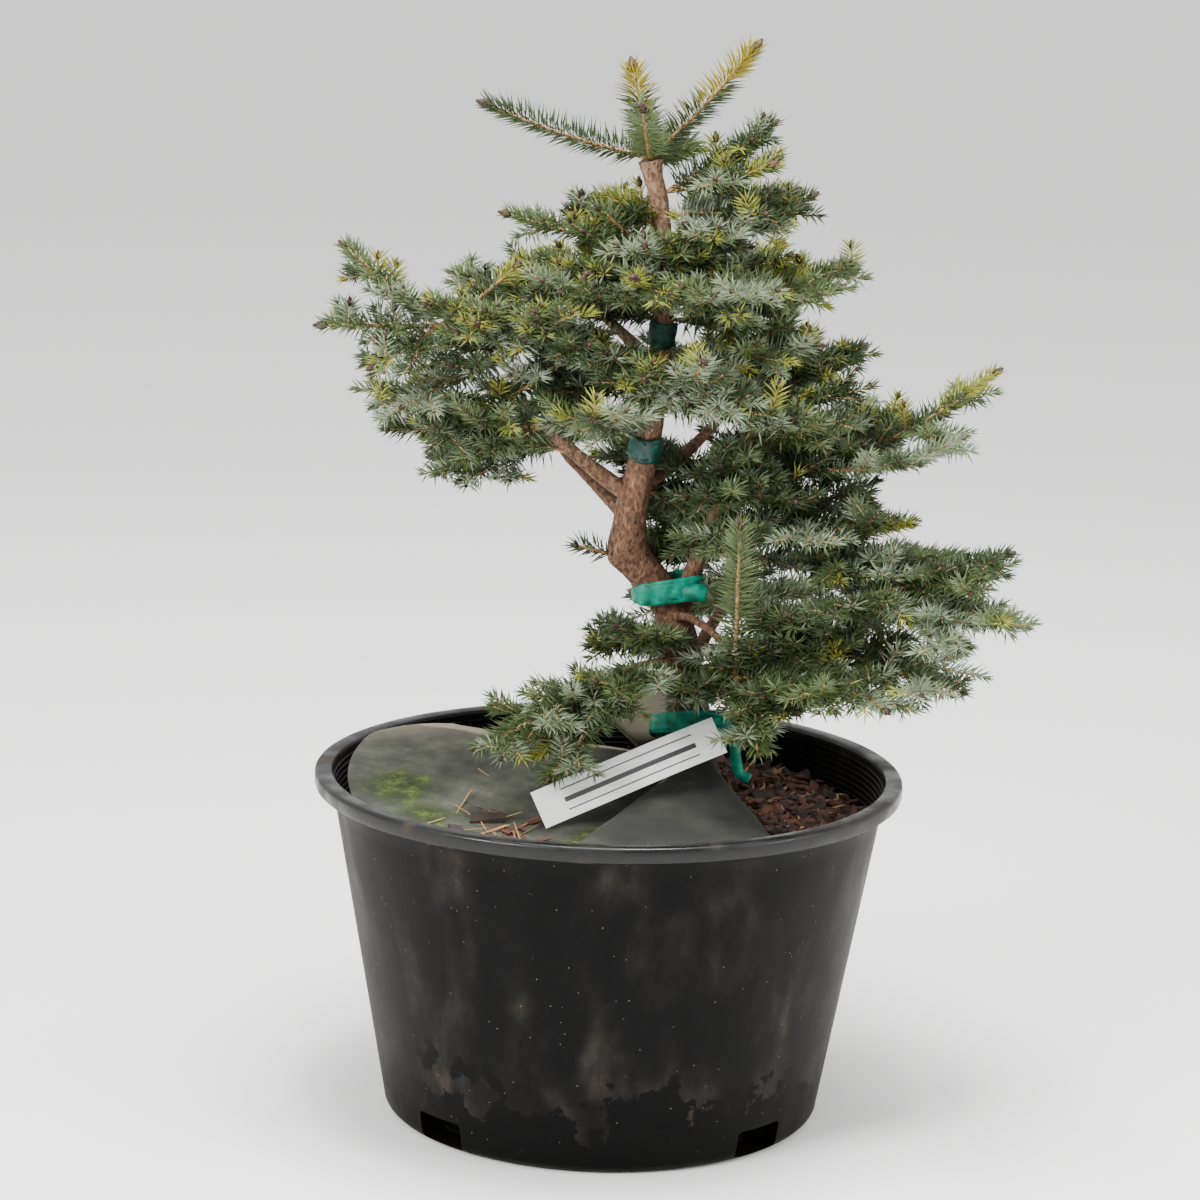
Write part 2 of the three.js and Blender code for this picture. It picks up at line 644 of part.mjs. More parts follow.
const allLimbs = wasm.Manifold.union(Object.values(limbSpaces));
const tapes = {
  tape_fork: forkTape(),
  tape_middle: tapeBand(LIMBS.trunk, TAPE_SHARES.middle),
  tape_upper: tapeBand(LIMBS.trunk, TAPE_SHARES.upper),
  tag_tie: tagTie(),
};
for (const [name, solid] of Object.entries(tapes)) {
  place(name, largestBody(solid.subtract(allLimbs)), GREEN_TAPE);
}
place("tag", tag(), WHITE_LABEL);

// Every arm is made bare before any needles, so that needles and side shoots give way to all arms.
function bareArms(mass) {
  const start = springPoint(mass);
  const arms = mass.arms.map((arm) => {
    const { centres, radii } = armRings(armPoints(start, arm), arm[2]);
    return needled(centres, radii, bare);
  });
  return wasm.Manifold.union([hub(mass), ...arms]).subtract(allLimbs);
}

const bareMasses = MASSES.map((mass) => boxed(bareArms(mass)));

MASSES.forEach((mass, i) => {
  const random = seeded(FIRST_SEED + SEED_STEP * i);
  const start = springPoint(mass);
  const others = [...placed, ...bareMasses.slice(i + 1)];
  const pieces = [];
  for (const arm of mass.arms) {
    const points = armPoints(start, arm);
    pieces.push(armRings(points, arm[2]));
    const shoots = sideShoots(points, arm, random).map(shootRings);
    pieces.push(...shoots.filter(({ centres, radii }) => isClear(needled(centres, radii, bare), others)));
  }
  const cores = pieces.map(({ centres, radii }) => boxed(needled(centres, radii, bare)));
  const grown = [];
  pieces.forEach(({ centres, radii }, k) => {
    const own = [...cores.filter((_, n) => n !== k), ...grown];
    grown.push(boxed(needled(centres, radii, needleClearOf(others, own))));
  });
  const solid = wasm.Manifold.union([hub(mass), ...grown.map((g) => g.solid)]).subtract(allLimbs);
  place(mass.name, largestBody(solid.simplify(SMALLEST_DETAIL)), NEEDLES);
});

export default part;
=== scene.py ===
import math

import bpy
import numpy as np
from mathutils import Matrix, Vector, noise


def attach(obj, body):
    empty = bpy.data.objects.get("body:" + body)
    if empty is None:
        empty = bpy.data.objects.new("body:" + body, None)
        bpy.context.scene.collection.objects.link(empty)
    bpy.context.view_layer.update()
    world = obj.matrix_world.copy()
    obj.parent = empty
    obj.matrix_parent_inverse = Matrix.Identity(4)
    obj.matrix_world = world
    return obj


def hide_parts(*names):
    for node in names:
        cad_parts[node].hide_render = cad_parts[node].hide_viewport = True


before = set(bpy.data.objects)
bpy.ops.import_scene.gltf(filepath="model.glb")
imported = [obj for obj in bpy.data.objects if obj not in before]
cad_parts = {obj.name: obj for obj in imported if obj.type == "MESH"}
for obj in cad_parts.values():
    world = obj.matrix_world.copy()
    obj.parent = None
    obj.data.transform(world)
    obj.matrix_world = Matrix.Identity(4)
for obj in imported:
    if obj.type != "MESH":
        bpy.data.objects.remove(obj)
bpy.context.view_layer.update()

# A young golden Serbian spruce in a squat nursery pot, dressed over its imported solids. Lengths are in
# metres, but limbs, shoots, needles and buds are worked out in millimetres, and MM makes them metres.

# Viewpoint
# A long lens looks a little down on the plant from 2.8 m away, and is held a degree and a half off
# level.
view_distance = 2.84
view_elevation = math.radians(19.43)
view_roll = math.radians(1.53)
view_aim = Vector((-0.0098, 0, 0.3805))

camera_place = view_distance * Vector((0, -math.cos(view_elevation), math.sin(view_elevation)))
ahead = (view_aim - camera_place).normalized()
level_right = ahead.cross(Vector((0, 0, 1))).normalized()
level_up = level_right.cross(ahead)
right = level_right * math.cos(view_roll) + level_up * math.sin(view_roll)
up = level_up * math.cos(view_roll) - level_right * math.sin(view_roll)
camera = bpy.data.objects.new("camera", bpy.data.cameras.new("camera"))
camera.data.sensor_width = 36
camera.data.lens = 113.1
camera.data.clip_end = 100
camera.matrix_world = Matrix.Translation(camera_place) @ Matrix((right, up, -ahead)).transposed().to_4x4()
bpy.context.collection.objects.link(camera)
bpy.context.scene.camera = camera

# Floor and light
# A plain white sweep under a broad soft light overhead, a large lamp at the front left and a weaker
# one at the right, as in a product studio.


def hex_colour(code):
    """Linear RGBA of an sRGB hex value."""
    values = [int(code[i:i + 2], 16) / 255 for i in (1, 3, 5)]
    linear = [v / 12.92 if v <= 0.04045 else ((v + 0.055) / 1.055) ** 2.4 for v in values]
    return (*linear, 1)


def set_sockets(material, node, *in_order, **named):
    """Gives sockets a value or a link, in the order of those in use or by name. A link comes from an
    output, or from a node's first output in use. An underscore in a name stands for a space."""
    in_use = [socket for socket in node.inputs if socket.enabled]
    by_name = [(node.inputs[key.replace("_", " ")], value) for key, value in named.items()]
    for socket, value in [*zip(in_use, in_order), *by_name]:
        if isinstance(value, bpy.types.Node):
            value = next(output for output in value.outputs if output.enabled)
        if isinstance(value, bpy.types.NodeSocket):
            material.node_tree.links.new(value, socket)
        else:
            socket.default_value = value


def set_shader(material, **sockets):
    """Values and links for the sockets of a material's Principled shader."""
    set_sockets(material, material.node_tree.nodes["Principled BSDF"], **sockets)


def new_material(name, **sockets):
    material = bpy.data.materials.new(name)
    material.use_nodes = True
    set_shader(material, **sockets)
    return material


def add_node(material, kind, *in_order, stops=(), **named):
    """A node with its settings, its sockets and a ramp's stops."""
    node = material.node_tree.nodes.new("ShaderNode" + kind)
    for key in [key for key in named if key.replace("_", " ") not in node.inputs]:
        setattr(node, key, named.pop(key))
    set_sockets(material, node, *in_order, **named)
    if stops:
        while len(node.color_ramp.elements) < len(stops):
            node.color_ramp.elements.new(0.5)
        for element, (place, code) in zip(node.color_ramp.elements, stops):
            element.position = place
            element.color = hex_colour(code)
    return node


def deselect_all():
    bpy.ops.object.select_all(action="DESELECT")


deselect_all()
bpy.ops.mesh.primitive_plane_add(size=120, location=(0, 0, -0.0005))
floor = bpy.context.object
floor.name = "studio_floor"
paper = new_material("white_paper", Roughness=0.9, Base_Color=hex_colour("#f4f4f3"))
paper_grain = add_node(paper, "TexNoise", Scale=900)
set_shader(paper, Normal=add_node(paper, "Bump", Strength=0.02, Height=paper_grain))
floor.data.materials.append(paper)

world = bpy.data.worlds.new("studio")
world.use_nodes = True
world.node_tree.nodes["Background"].inputs["Color"].default_value = hex_colour("#ffffff")
world.node_tree.nodes["Background"].inputs["Strength"].default_value = 1.25
bpy.context.scene.world = world


def soft_lamp(name, place, size, power):
    """A square area lamp that faces the middle of the plant."""
    lamp = bpy.data.objects.new(name, bpy.data.lights.new(name, "AREA"))
    lamp.data.size = size
    lamp.data.energy = power
    lamp.location = place
    lamp.rotation_euler = (Vector((0, 0, 0.45)) - lamp.location).to_track_quat("-Z", "Y").to_euler()
    bpy.context.collection.objects.link(lamp)


soft_lamp("overhead_light", Vector((0.1, -0.2, 2.6)), 1.0, 125)
soft_lamp("front_left_light", Vector((-1.9, -1.9, 1.7)), 1.0, 95)
soft_lamp("right_light", Vector((2.2, -0.9, 1.2)), 1.2, 32)

# Pot
# A blow-moulded black polyethylene nursery can: a rolled rim, fine stacking ribs just inside the
# mouth, a thin sloping wall, and four drainage openings cut at the turn of the base.
POT_HEIGHT = 0.254
RIM_RADIUS = 0.215
RIM_HEIGHT = 0.012
RIM_ROUND = 0.003
LIP = 0.013
WALL_RADIUS_TOP = 0.202
FOOT_RADIUS = 0.161
FOOT_ROUND = 0.009
WALL = 0.0026
RIBS = 7
RIBS_BELOW_TOP = 0.006
RIB_PITCH = 0.0042
RIB_DEPTH = 0.0011


def wall_outside(z):
    share = (z - FOOT_ROUND) / (POT_HEIGHT - RIM_HEIGHT - FOOT_ROUND)
    return FOOT_RADIUS + share * (WALL_RADIUS_TOP - FOOT_RADIUS)


def wall_inside(z):
    return wall_outside(z) - WALL


def pot_profile():
    """Radius and height of each ring, from the underside up the outside and down the inside."""
    rings = [(0.03, 0.0006), (0.12, 0.0006), (0.146, 0)]
    for step in range(6):
        turn = math.radians(18 * step)
        rings.append((FOOT_RADIUS - FOOT_ROUND * (1 - math.sin(turn)), FOOT_ROUND * (1 - math.cos(turn))))
    under_rim = POT_HEIGHT - RIM_HEIGHT
    rings += [(wall_outside(z), z) for z in (0.04, 0.09, 0.14, 0.19, 0.225, under_rim - 0.004)]
    rings += [(WALL_RADIUS_TOP + 0.002, under_rim - 0.001), (RIM_RADIUS - 0.0025, under_rim),
              (RIM_RADIUS - 0.0006, under_rim + 0.0012), (RIM_RADIUS, under_rim + 0.0035)]
    for step in range(5):
        turn = math.radians(22.5 * step)
        rings.append((RIM_RADIUS - RIM_ROUND * (1 - math.cos(turn)),
                      POT_HEIGHT - RIM_ROUND * (1 - math.sin(turn))))
    mouth = RIM_RADIUS - LIP
    rings += [(mouth + 0.0025, POT_HEIGHT), (mouth + 0.0008, POT_HEIGHT - 0.0008),
              (mouth, POT_HEIGHT - 0.0028)]
    for rib in range(RIBS):
        z = POT_HEIGHT - RIBS_BELOW_TOP - rib * RIB_PITCH
        rings += [(wall_inside(z) + RIB_DEPTH, z), (wall_inside(z) + RIB_DEPTH, z - 0.0012),
                  (wall_inside(z), z - 0.002), (wall_inside(z), z - 0.0032)]
    rings += [(wall_inside(z), z) for z in (0.2, 0.12, 0.02)]
    rings += [(FOOT_RADIUS - FOOT_ROUND - WALL, 0.005), (0.05, 0.005)]
    return rings


def raised_rings(name, rings, sides):
    """A turned form: a circle is extruded from ring to ring, and its two open ends are filled."""
    deselect_all()
    bpy.ops.mesh.primitive_circle_add(vertices=sides, radius=rings[0][0], location=(0, 0, rings[0][1]))
    form = bpy.context.object
    form.name = name
    bpy.ops.object.transform_apply(location=True)
    bpy.ops.object.mode_set(mode="EDIT")
    bpy.ops.mesh.select_all(action="SELECT")
    for (radius, z), (next_radius, next_z) in zip(rings, rings[1:]):
        bpy.ops.mesh.extrude_region_move(TRANSFORM_OT_translate={"value": (0, 0, next_z - z)})
        grow = next_radius / radius
        bpy.ops.transform.resize(value=(grow, grow, 1))
    bpy.ops.mesh.select_all(action="DESELECT")
    bpy.ops.mesh.select_non_manifold()
    bpy.ops.mesh.fill_holes(sides=0)
    bpy.ops.mesh.select_all(action="SELECT")
    bpy.ops.mesh.normals_make_consistent(inside=False)
    bpy.ops.object.mode_set(mode="OBJECT")
    return form


def apply_modifier(form, kind, **settings):
    """Adds one modifier to a form and applies it."""
    deselect_all()
    form.select_set(True)
    bpy.context.view_layer.objects.active = form
    modifier = form.modifiers.new("step", kind)
    for key, value in settings.items():
        setattr(modifier, key, value)
    bpy.ops.object.modifier_apply(modifier="step")


pot = raised_rings("nursery_pot", pot_profile(), 160)

DRAIN_WIDTH = 0.042
DRAIN_HEIGHT = 0.021
DRAIN_DEPTH = 0.034
DRAIN_SILL = 0.002
DRAIN_ROUND = 0.003
for corner in range(4):
    turn = math.radians(45 + 90 * corner)
    reach = FOOT_RADIUS - DRAIN_DEPTH / 2 + FOOT_ROUND
    deselect_all()
    bpy.ops.mesh.primitive_cube_add(
        size=1, location=(reach * math.cos(turn), reach * math.sin(turn), DRAIN_SILL + DRAIN_HEIGHT / 2),
        rotation=(0, 0, turn), scale=(DRAIN_DEPTH, DRAIN_WIDTH, DRAIN_HEIGHT))
    cutter = bpy.context.object
    bpy.ops.object.transform_apply(location=True, rotation=True, scale=True)
    bpy.ops.object.mode_set(mode="EDIT")
    bpy.ops.mesh.select_all(action="SELECT")
    bpy.ops.mesh.bevel(offset=DRAIN_ROUND, segments=2)
    bpy.ops.object.mode_set(mode="OBJECT")
    apply_modifier(pot, "BOOLEAN", operation="DIFFERENCE", object=cutter)
    bpy.data.objects.remove(cutter)
bpy.ops.object.shade_smooth_by_angle(angle=math.radians(35))

# Blow-moulded polyethylene: soft black with a faint orange-peel skin and shallow dents, dull where
# dust and splashed mud have dried, black where it is damp by the base, with pale specks of grit.
poly = new_material("black_polyethylene", IOR=1.51, Specular_IOR_Level=0.07, Sheen_Weight=0.03,
                    Sheen_Roughness=0.45, Sheen_Tint=hex_colour("#b08f6c"))
poly_place = add_node(poly, "TexCoord").outputs["Object"]
height = add_node(poly, "SeparateXYZ", poly_place).outputs["Z"]
dust_cloud = add_node(poly, "TexNoise", poly_place, Scale=13, Detail=9, Roughness=0.66)
streak_map = add_node(poly, "Mapping", poly_place, Scale=(38, 38, 14))
streaks = add_node(poly, "TexNoise", streak_map, Scale=1, Detail=6)
dust_sum = add_node(poly, "Math", dust_cloud, streaks, operation="MULTIPLY")
splashed = add_node(poly, "MapRange", height, From_Min=0.13, From_Max=0.03, To_Max=0.07)
dust_depth = add_node(poly, "Math", dust_sum, splashed, operation="ADD")
dust_colour = add_node(poly, "ValToRGB", dust_depth, stops=[
    (0.17, "#020202"), (0.24, "#050505"), (0.31, "#100f0e"), (0.38, "#1d1b18"), (0.52, "#3b332b")])
damp_edge = add_node(poly, "TexNoise", poly_place, Scale=34, Detail=7, Roughness=0.6)
damp_line = add_node(poly, "Math", damp_edge, 0.24, -0.07, operation="MULTIPLY_ADD")
damp = add_node(poly, "Math", height, damp_line, operation="LESS_THAN")
damp_colour = add_node(poly, "Mix", damp, dust_colour, hex_colour("#030303"), data_type="RGBA")
speck_cells = add_node(poly, "TexVoronoi", poly_place, Scale=115)
specks = add_node(poly, "Math", speck_cells, 0.055, operation="LESS_THAN")
speck_colour = add_node(poly, "Mix", specks, damp_colour, hex_colour("#5d564d"), data_type="RGBA")
dull = add_node(poly, "MapRange", dust_sum, From_Min=0.1, From_Max=0.5, To_Min=0.42, To_Max=0.68)
peel = add_node(poly, "TexNoise", poly_place, Scale=420, Detail=3)
peel_bump = add_node(poly, "Bump", Strength=0.18, Distance=0.0006, Height=peel)
dents = add_node(poly, "TexNoise", poly_place, Scale=11, Detail=2)
dent_bump = add_node(poly, "Bump", Strength=0.25, Distance=0.006, Height=dents, Normal=peel_bump)
set_shader(poly, Base_Color=speck_colour, Roughness=dull, Normal=dent_bump)
pot.data.materials.append(poly)

# The rim's plastic is the same, rubbed smooth by handling, with brown dust left in patches.
rim_poly = new_material("handled_polyethylene", IOR=1.51, Specular_IOR_Level=0.3)
rim_place = add_node(rim_poly, "TexCoord").outputs["Object"]
rim_cloud = add_node(rim_poly, "TexNoise", rim_place, Scale=30, Detail=8, Roughness=0.6)
rim_colour = add_node(rim_poly, "ValToRGB", rim_cloud, stops=[
    (0.35, "#060606"), (0.55, "#0c0b0a"), (0.68, "#2a231c"), (0.82, "#52463a")])
rim_dull = add_node(rim_poly, "MapRange", rim_cloud, From_Min=0.4, From_Max=0.65, To_Min=0.26, To_Max=0.6)
set_shader(rim_poly, Base_Color=rim_colour, Roughness=rim_dull)
pot.data.materials.append(rim_poly)
for face in pot.data.polygons:
    centre = face.center
    if centre.z > POT_HEIGHT - RIM_HEIGHT - 0.001 and math.hypot(centre.x, centre.y) > WALL_RADIUS_TOP:
        face.material_index = 1
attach(pot, "root")
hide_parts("pot")

# Potting mix
# Damp composted bark fills the pot to 35 mm under its top, and is heaped a little round the trunk.
# Its top is a crumbly surface with loose chips and dead straws on it.
SOIL_LEVEL = 0.219
MOUND = 0.018
MOUND_SPREAD = 0.060
SOIL_GAP = 0.0026  # to the wall
SOIL_THICK = 0.006
SOIL_LUMPS = 0.0045
FOOT = (0.063, 0.042)


def soil_height(x, y):
    away = np.hypot(x - FOOT[0], y - FOOT[1]) / MOUND_SPREAD
    return SOIL_LEVEL + MOUND * np.exp(-away * away / 2)


def mesh_places(form):
    places = np.empty(len(form.data.vertices) * 3)
    form.data.vertices.foreach_get("co", places)
    return places.reshape(-1, 3)


def set_mesh_places(form, places):
    form.data.vertices.foreach_set("co", places.ravel())
    form.data.update()


def flat_grid(name, across, along, size=1):
    """A flat square of faces."""
    deselect_all()
    bpy.ops.mesh.primitive_grid_add(x_subdivisions=across, y_subdivisions=along, size=size)
    form = bpy.context.object
    form.name = name
    return form


mix = flat_grid("potting_mix", 150, 150, size=2)
square = mesh_places(mix)
disc = square.copy()
disc[:, 0] = square[:, 0] * np.sqrt(1 - square[:, 1] ** 2 / 2)
disc[:, 1] = square[:, 1] * np.sqrt(1 - square[:, 0] ** 2 / 2)
disc[:, :2] *= wall_inside(SOIL_LEVEL) - SOIL_GAP
disc[:, 2] = soil_height(disc[:, 0], disc[:, 1]) - SOIL_THICK / 2
for row in disc:
    row[2] += SOIL_LUMPS * noise.fractal(Vector(row) * 60, 0.8, 2.1, 4)
set_mesh_places(mix, disc)
apply_modifier(mix, "SOLIDIFY", thickness=SOIL_THICK, offset=-1)
bpy.ops.object.shade_smooth_by_angle(angle=math.radians(50))


def mottled_material(name, scale, detail, stops, strength, distance, **sockets):
    """A material coloured along a ramp and raised by one noise, or by cells where detail is None."""
    material = new_material(name, **sockets)
    place = add_node(material, "TexCoord").outputs["Object"]
    if detail is None:
        relief = add_node(material, "TexVoronoi", place, Scale=scale)
        tint = add_node(material, "SeparateXYZ", relief.outputs["Color"])
    else:
        relief = tint = add_node(material, "TexNoise", place, Scale=scale, Detail=detail)
    colour = add_node(material, "ValToRGB", tint, stops=stops)
    bump = add_node(material, "Bump", Strength=strength, Distance=distance, Height=relief)
    set_shader(material, Base_Color=colour, Normal=bump)
    return material


# Composted bark: nearly black when damp, with red-brown shreds and dry tan crumbs.
compost_ramp = [(0, "#1b120d"), (0.45, "#2c1f17"), (0.75, "#463125"), (0.95, "#765c47")]
compost = mottled_material("composted_bark", 260, None, compost_ramp, 0.9, 0.003, Roughness=0.95)
mix.data.materials.append(compost)
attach(mix, "root")
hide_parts("potting_soil")


def mesh_piece(name, places, faces, materials, face_material=None, smooth=True):
    """A piece from arrays of places in metres and of faces, all of one number of corners."""
    mesh = bpy.data.meshes.new(name)
    mesh.from_pydata(places.tolist(), [], faces.tolist())
    for material in materials:
        mesh.materials.append(material)
    if face_material is not None:
        mesh.polygons.foreach_set("material_index", face_material.astype(np.int32))
    mesh.polygons.foreach_set("use_smooth", np.full(len(faces), smooth))
    mesh.validate()
    piece = bpy.data.objects.new(name, mesh)
    bpy.context.collection.objects.link(piece)
    return piece


CHIP_CORNERS = np.array([(x, y, z) for z in (-1, 1) for y in (-1, 1) for x in (-1, 1)]) / 2
CHIP_FACES = np.array([(0, 2, 3, 1), (4, 5, 7, 6), (0, 1, 5, 4), (2, 6, 7, 3), (0, 4, 6, 2), (1, 3, 7, 5)])


def repeated_faces(faces, places_each, count):
    """The faces of many like bodies, whose places follow one another."""
    return (faces[None] + places_each * np.arange(count)[:, None, None]).reshape(-1, faces.shape[1])


def turn_about(axis, angle):
    return np.array(Matrix.Rotation(angle, 3, axis))


def scatter_chips(name, spots, longest, slim, material, seed):
    """Splinters that lie at the spots, each a box with its corners knocked about; slim is the least
    and the greatest width as a share of the length."""
    draw = np.random.default_rng(seed)
    places = []
    for x, y, z in spots:
        long = longest * draw.uniform(0.35, 1)
        wide = long * draw.uniform(*slim)
        size = np.array([long, wide, wide * draw.uniform(0.25, 0.6)])
        corners = (CHIP_CORNERS + draw.uniform(-0.16, 0.16, (8, 3))) * size
        tilt = turn_about("Z", draw.uniform(0, 2 * math.pi)) @ turn_about("Y", draw.normal(0, 0.3))
        tilt = tilt @ turn_about("X", draw.normal(0, 0.4))
        places.append(corners @ tilt.T + (x, y, z + size[2] * 0.4))
    faces = repeated_faces(CHIP_FACES, len(CHIP_CORNERS), len(places))
    return mesh_piece(name, np.concatenate(places), faces, [material], smooth=False)


def spots_on_soil(centres, seed):
    """Spots drawn round centres, each centre (x, y, spread, count), kept inside the pot."""
    draw = np.random.default_rng(seed)
    spots = np.concatenate([draw.normal((x, y), spread, (count, 2)) for x, y, spread, count in centres])
    inside = np.hypot(spots[:, 0], spots[:, 1]) < wall_inside(SOIL_LEVEL) - 0.012
    inside &= np.hypot(spots[:, 0] - FOOT[0], spots[:, 1] - FOOT[1]) > 0.026
    spots = spots[inside]
    return np.column_stack([spots, soil_height(spots[:, 0], spots[:, 1])])


CHIP_PLACES = [(0.150, -0.010, 0.035, 260), (0.120, 0.070, 0.06, 190), (0.0, 0.130, 0.07, 170),
               (-0.130, 0.100, 0.05, 130), (0.150, -0.070, 0.03, 90)]
# Shredded pine bark, dry on top: red-brown outer plates, pale inner wood and dead straws. Each kind
# has its colour, its longest, its widths as shares of that, and the share of spots that it takes.
CHIP_KINDS = {
    "bark_chips_red": ("#5f3829", 0.024, (0.14, 0.36), 1),
    "bark_chips_dark": ("#33241c", 0.022, (0.2, 0.45), 1),
    "bark_chips_pale": ("#a3835f", 0.018, (0.1, 0.24), 0.6),
    "dead_straws": ("#b48c58", 0.038, (0.024, 0.04), 0.16),
}
chip_materials = {}
for chip_seed, (chip_name, (chip_code, chip_long, chip_slim, chip_part)) in enumerate(CHIP_KINDS.items()):
    chip_bark = new_material(chip_name, Roughness=0.85)
    chip_place = add_node(chip_bark, "TexCoord").outputs["Object"]
    chip_grain = add_node(chip_bark, "TexNoise", chip_place, Scale=320, Detail=5)
    chip_shade = add_node(chip_bark, "Mix", 0.7, hex_colour(chip_code), chip_grain.outputs["Color"],
                          data_type="RGBA", blend_type="MULTIPLY")
    chip_bump = add_node(chip_bark, "Bump", Strength=0.5, Distance=0.001, Height=chip_grain)
    set_shader(chip_bark, Base_Color=chip_shade, Normal=chip_bump)
    chip_materials[chip_name] = chip_bark
    heaps = [(x, y, spread, int(count * chip_part)) for x, y, spread, count in CHIP_PLACES]
    chips = scatter_chips(chip_name, spots_on_soil(heaps, chip_seed), chip_long, chip_slim, chip_bark,
                          chip_seed)
    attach(chips, "root")

# Weed mat
# A round mat of grey needled fibre, cut to the middle so that it can be laid round the trunk. Its
# flaps have curled up with age, and moss and algae have grown on them.
MAT_RADIUS = 0.191
MAT_THICK = 0.0018
MAT_WAVES = 0.0025
MAT_INNER = 0.027
MAT_CORNER_SHARE = 0.14
MAT_FLAPS = {
    "weed_mat_left": {"turns": (164, 242), "near": (0.250, 0.240), "far": (0.260, 0.216),
                      "reach": 0.400, "corner_drop": 0.042},
    "weed_mat_front": {"turns": (245, 298), "near": (0.252, 0.256), "far": (0.232, 0.214),
                       "reach": 0.400, "corner_drop": 0.042},
    "weed_mat_back": {"turns": (98, 154), "near": (0.235, 0.235), "far": (0.294, 0.276),
                      "reach": 0.084, "corner_drop": 0.005},
}


def mat_places(u, v, flap):
    """Where a point of a flap lies, u from cut to cut and v from the trunk to the wall."""
    turn = np.radians(flap["turns"][0] + u * (flap["turns"][1] - flap["turns"][0]))
    dx, dy = np.cos(turn), np.sin(turn)
    along_foot = FOOT[0] * dx + FOOT[1] * dy
    to_wall = -along_foot + np.sqrt(along_foot ** 2 - FOOT[0] ** 2 - FOOT[1] ** 2 + MAT_RADIUS ** 2)
    corner = flap["corner_drop"] * np.maximum(0, 1 - np.minimum(u, 1 - u) / MAT_CORNER_SHARE) ** 2
    out = MAT_INNER + v * (np.minimum(flap["reach"], to_wall) - corner - MAT_INNER)
    x, y = FOOT[0] + out * dx, FOOT[1] + out * dy
    ease = u * u * (3 - 2 * u)
    near = flap["near"][0] + ease * (flap["near"][1] - flap["near"][0])
    far = flap["far"][0] + ease * (flap["far"][1] - flap["far"][0])
    z = near + v ** 0.8 * (far - near)
    return np.column_stack([x, y, np.maximum(z, soil_height(x, y) + 0.0005)])


# Needled polyester mat: grey felted fibres, darker towards the right, bleached to tan along the
# high and the outer edges, and greened by moss in patches and along the cut.
MOSS_PATCHES = (((-0.152, -0.03, 0.251), 0.04), ((-0.13, -0.075, 0.247), 0.036),
                ((-0.06, -0.062, 0.252), 0.02))
felt = new_material("needled_fibre_mat", Roughness=0.9)
felt_coordinates = add_node(felt, "TexCoord")
felt_place = felt_coordinates.outputs["Object"]
felt_axes = add_node(felt, "SeparateXYZ", felt_place)
felt_across = add_node(felt, "SeparateXYZ", felt_coordinates.outputs["UV"]).outputs["X"]
felt_cloud = add_node(felt, "TexNoise", felt_place, Scale=22, Detail=9, Roughness=0.65)
felt_colour = add_node(felt, "ValToRGB", felt_cloud, stops=[
    (0.3, "#23241d"), (0.45, "#373930"), (0.6, "#4f5145"), (0.76, "#737464")])
# Darker towards the right: from x = -0.04 m, fully from x = 0.01 m, across all three flaps.
felt_right_dark = add_node(felt, "MapRange", felt_axes.outputs["X"], From_Min=-0.04, From_Max=0.01, To_Max=0.85)
felt_darker = add_node(felt, "Mix", felt_right_dark, felt_colour, hex_colour("#5c5e59"),
                       data_type="RGBA", blend_type="MULTIPLY")
felt_high = add_node(felt, "MapRange", felt_axes.outputs["Z"], From_Min=0.2575, From_Max=0.264, To_Max=0.5)
felt_wavy = add_node(felt, "Math", felt_cloud, 0.12, felt_across, operation="MULTIPLY_ADD")
felt_outer = add_node(felt, "MapRange", felt_wavy, From_Min=1, From_Max=1.03)
felt_behind = add_node(felt, "MapRange", felt_axes.outputs["Y"], From_Min=-0.02, From_Max=0)
felt_strip = add_node(felt, "Math", felt_outer, felt_behind, operation="MULTIPLY")
felt_edges = add_node(felt, "Math", felt_high, felt_strip, operation="MAXIMUM")
felt_bleached = add_node(felt, "Mix", felt_edges, felt_darker, hex_colour("#99917a"), data_type="RGBA")
moss_depth = add_node(felt, "MapRange", felt_across, From_Min=0.12, From_Max=0.03, To_Max=0.55)
for moss_centre, moss_reach in MOSS_PATCHES:
    moss_away = add_node(felt, "VectorMath", felt_place, moss_centre, operation="DISTANCE")
    moss_near = add_node(felt, "MapRange", moss_away, From_Min=moss_reach, From_Max=0)
    moss_depth = add_node(felt, "Math", moss_depth, moss_near, operation="MAXIMUM")
moss_cloud = add_node(felt, "TexNoise", felt_place, Scale=95, Detail=8, Roughness=0.75)
moss_sum = add_node(felt, "Math", moss_depth, moss_cloud, operation="ADD")
moss_mask = add_node(felt, "MapRange", moss_sum, From_Min=0.7, From_Max=1.02)
moss_colour = add_node(felt, "ValToRGB", moss_cloud, stops=[
    (0.35, "#121904"), (0.52, "#29360c"), (0.72, "#586a1e")])
felt_green = add_node(felt, "Mix", moss_mask, felt_bleached, moss_colour, data_type="RGBA")
fibres = add_node(felt, "TexNoise", felt_place, Scale=800, Detail=4)
fibre_bump = add_node(felt, "Bump", Strength=0.35, Distance=0.0008, Height=fibres)
set_shader(felt, Base_Color=felt_green, Normal=fibre_bump)

for flap_name, flap in MAT_FLAPS.items():
    mat = flat_grid(flap_name + "_felt", 48, 40)
    grid = mesh_places(mat)
    laid = mat_places(0.5 - grid[:, 0], grid[:, 1] + 0.5, flap)
    for row in laid:
        row[2] += MAT_WAVES * max(0, noise.noise(Vector((row[0], row[1], 0)) * 24))
    set_mesh_places(mat, laid)
    apply_modifier(mat, "SOLIDIFY", thickness=MAT_THICK, offset=1)
    apply_modifier(mat, "BEVEL", width=0.0005, segments=2)
    bpy.ops.object.shade_smooth_by_angle(angle=math.radians(40))
    mat.data.materials.append(felt)
    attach(mat, "root")
    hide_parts(flap_name)

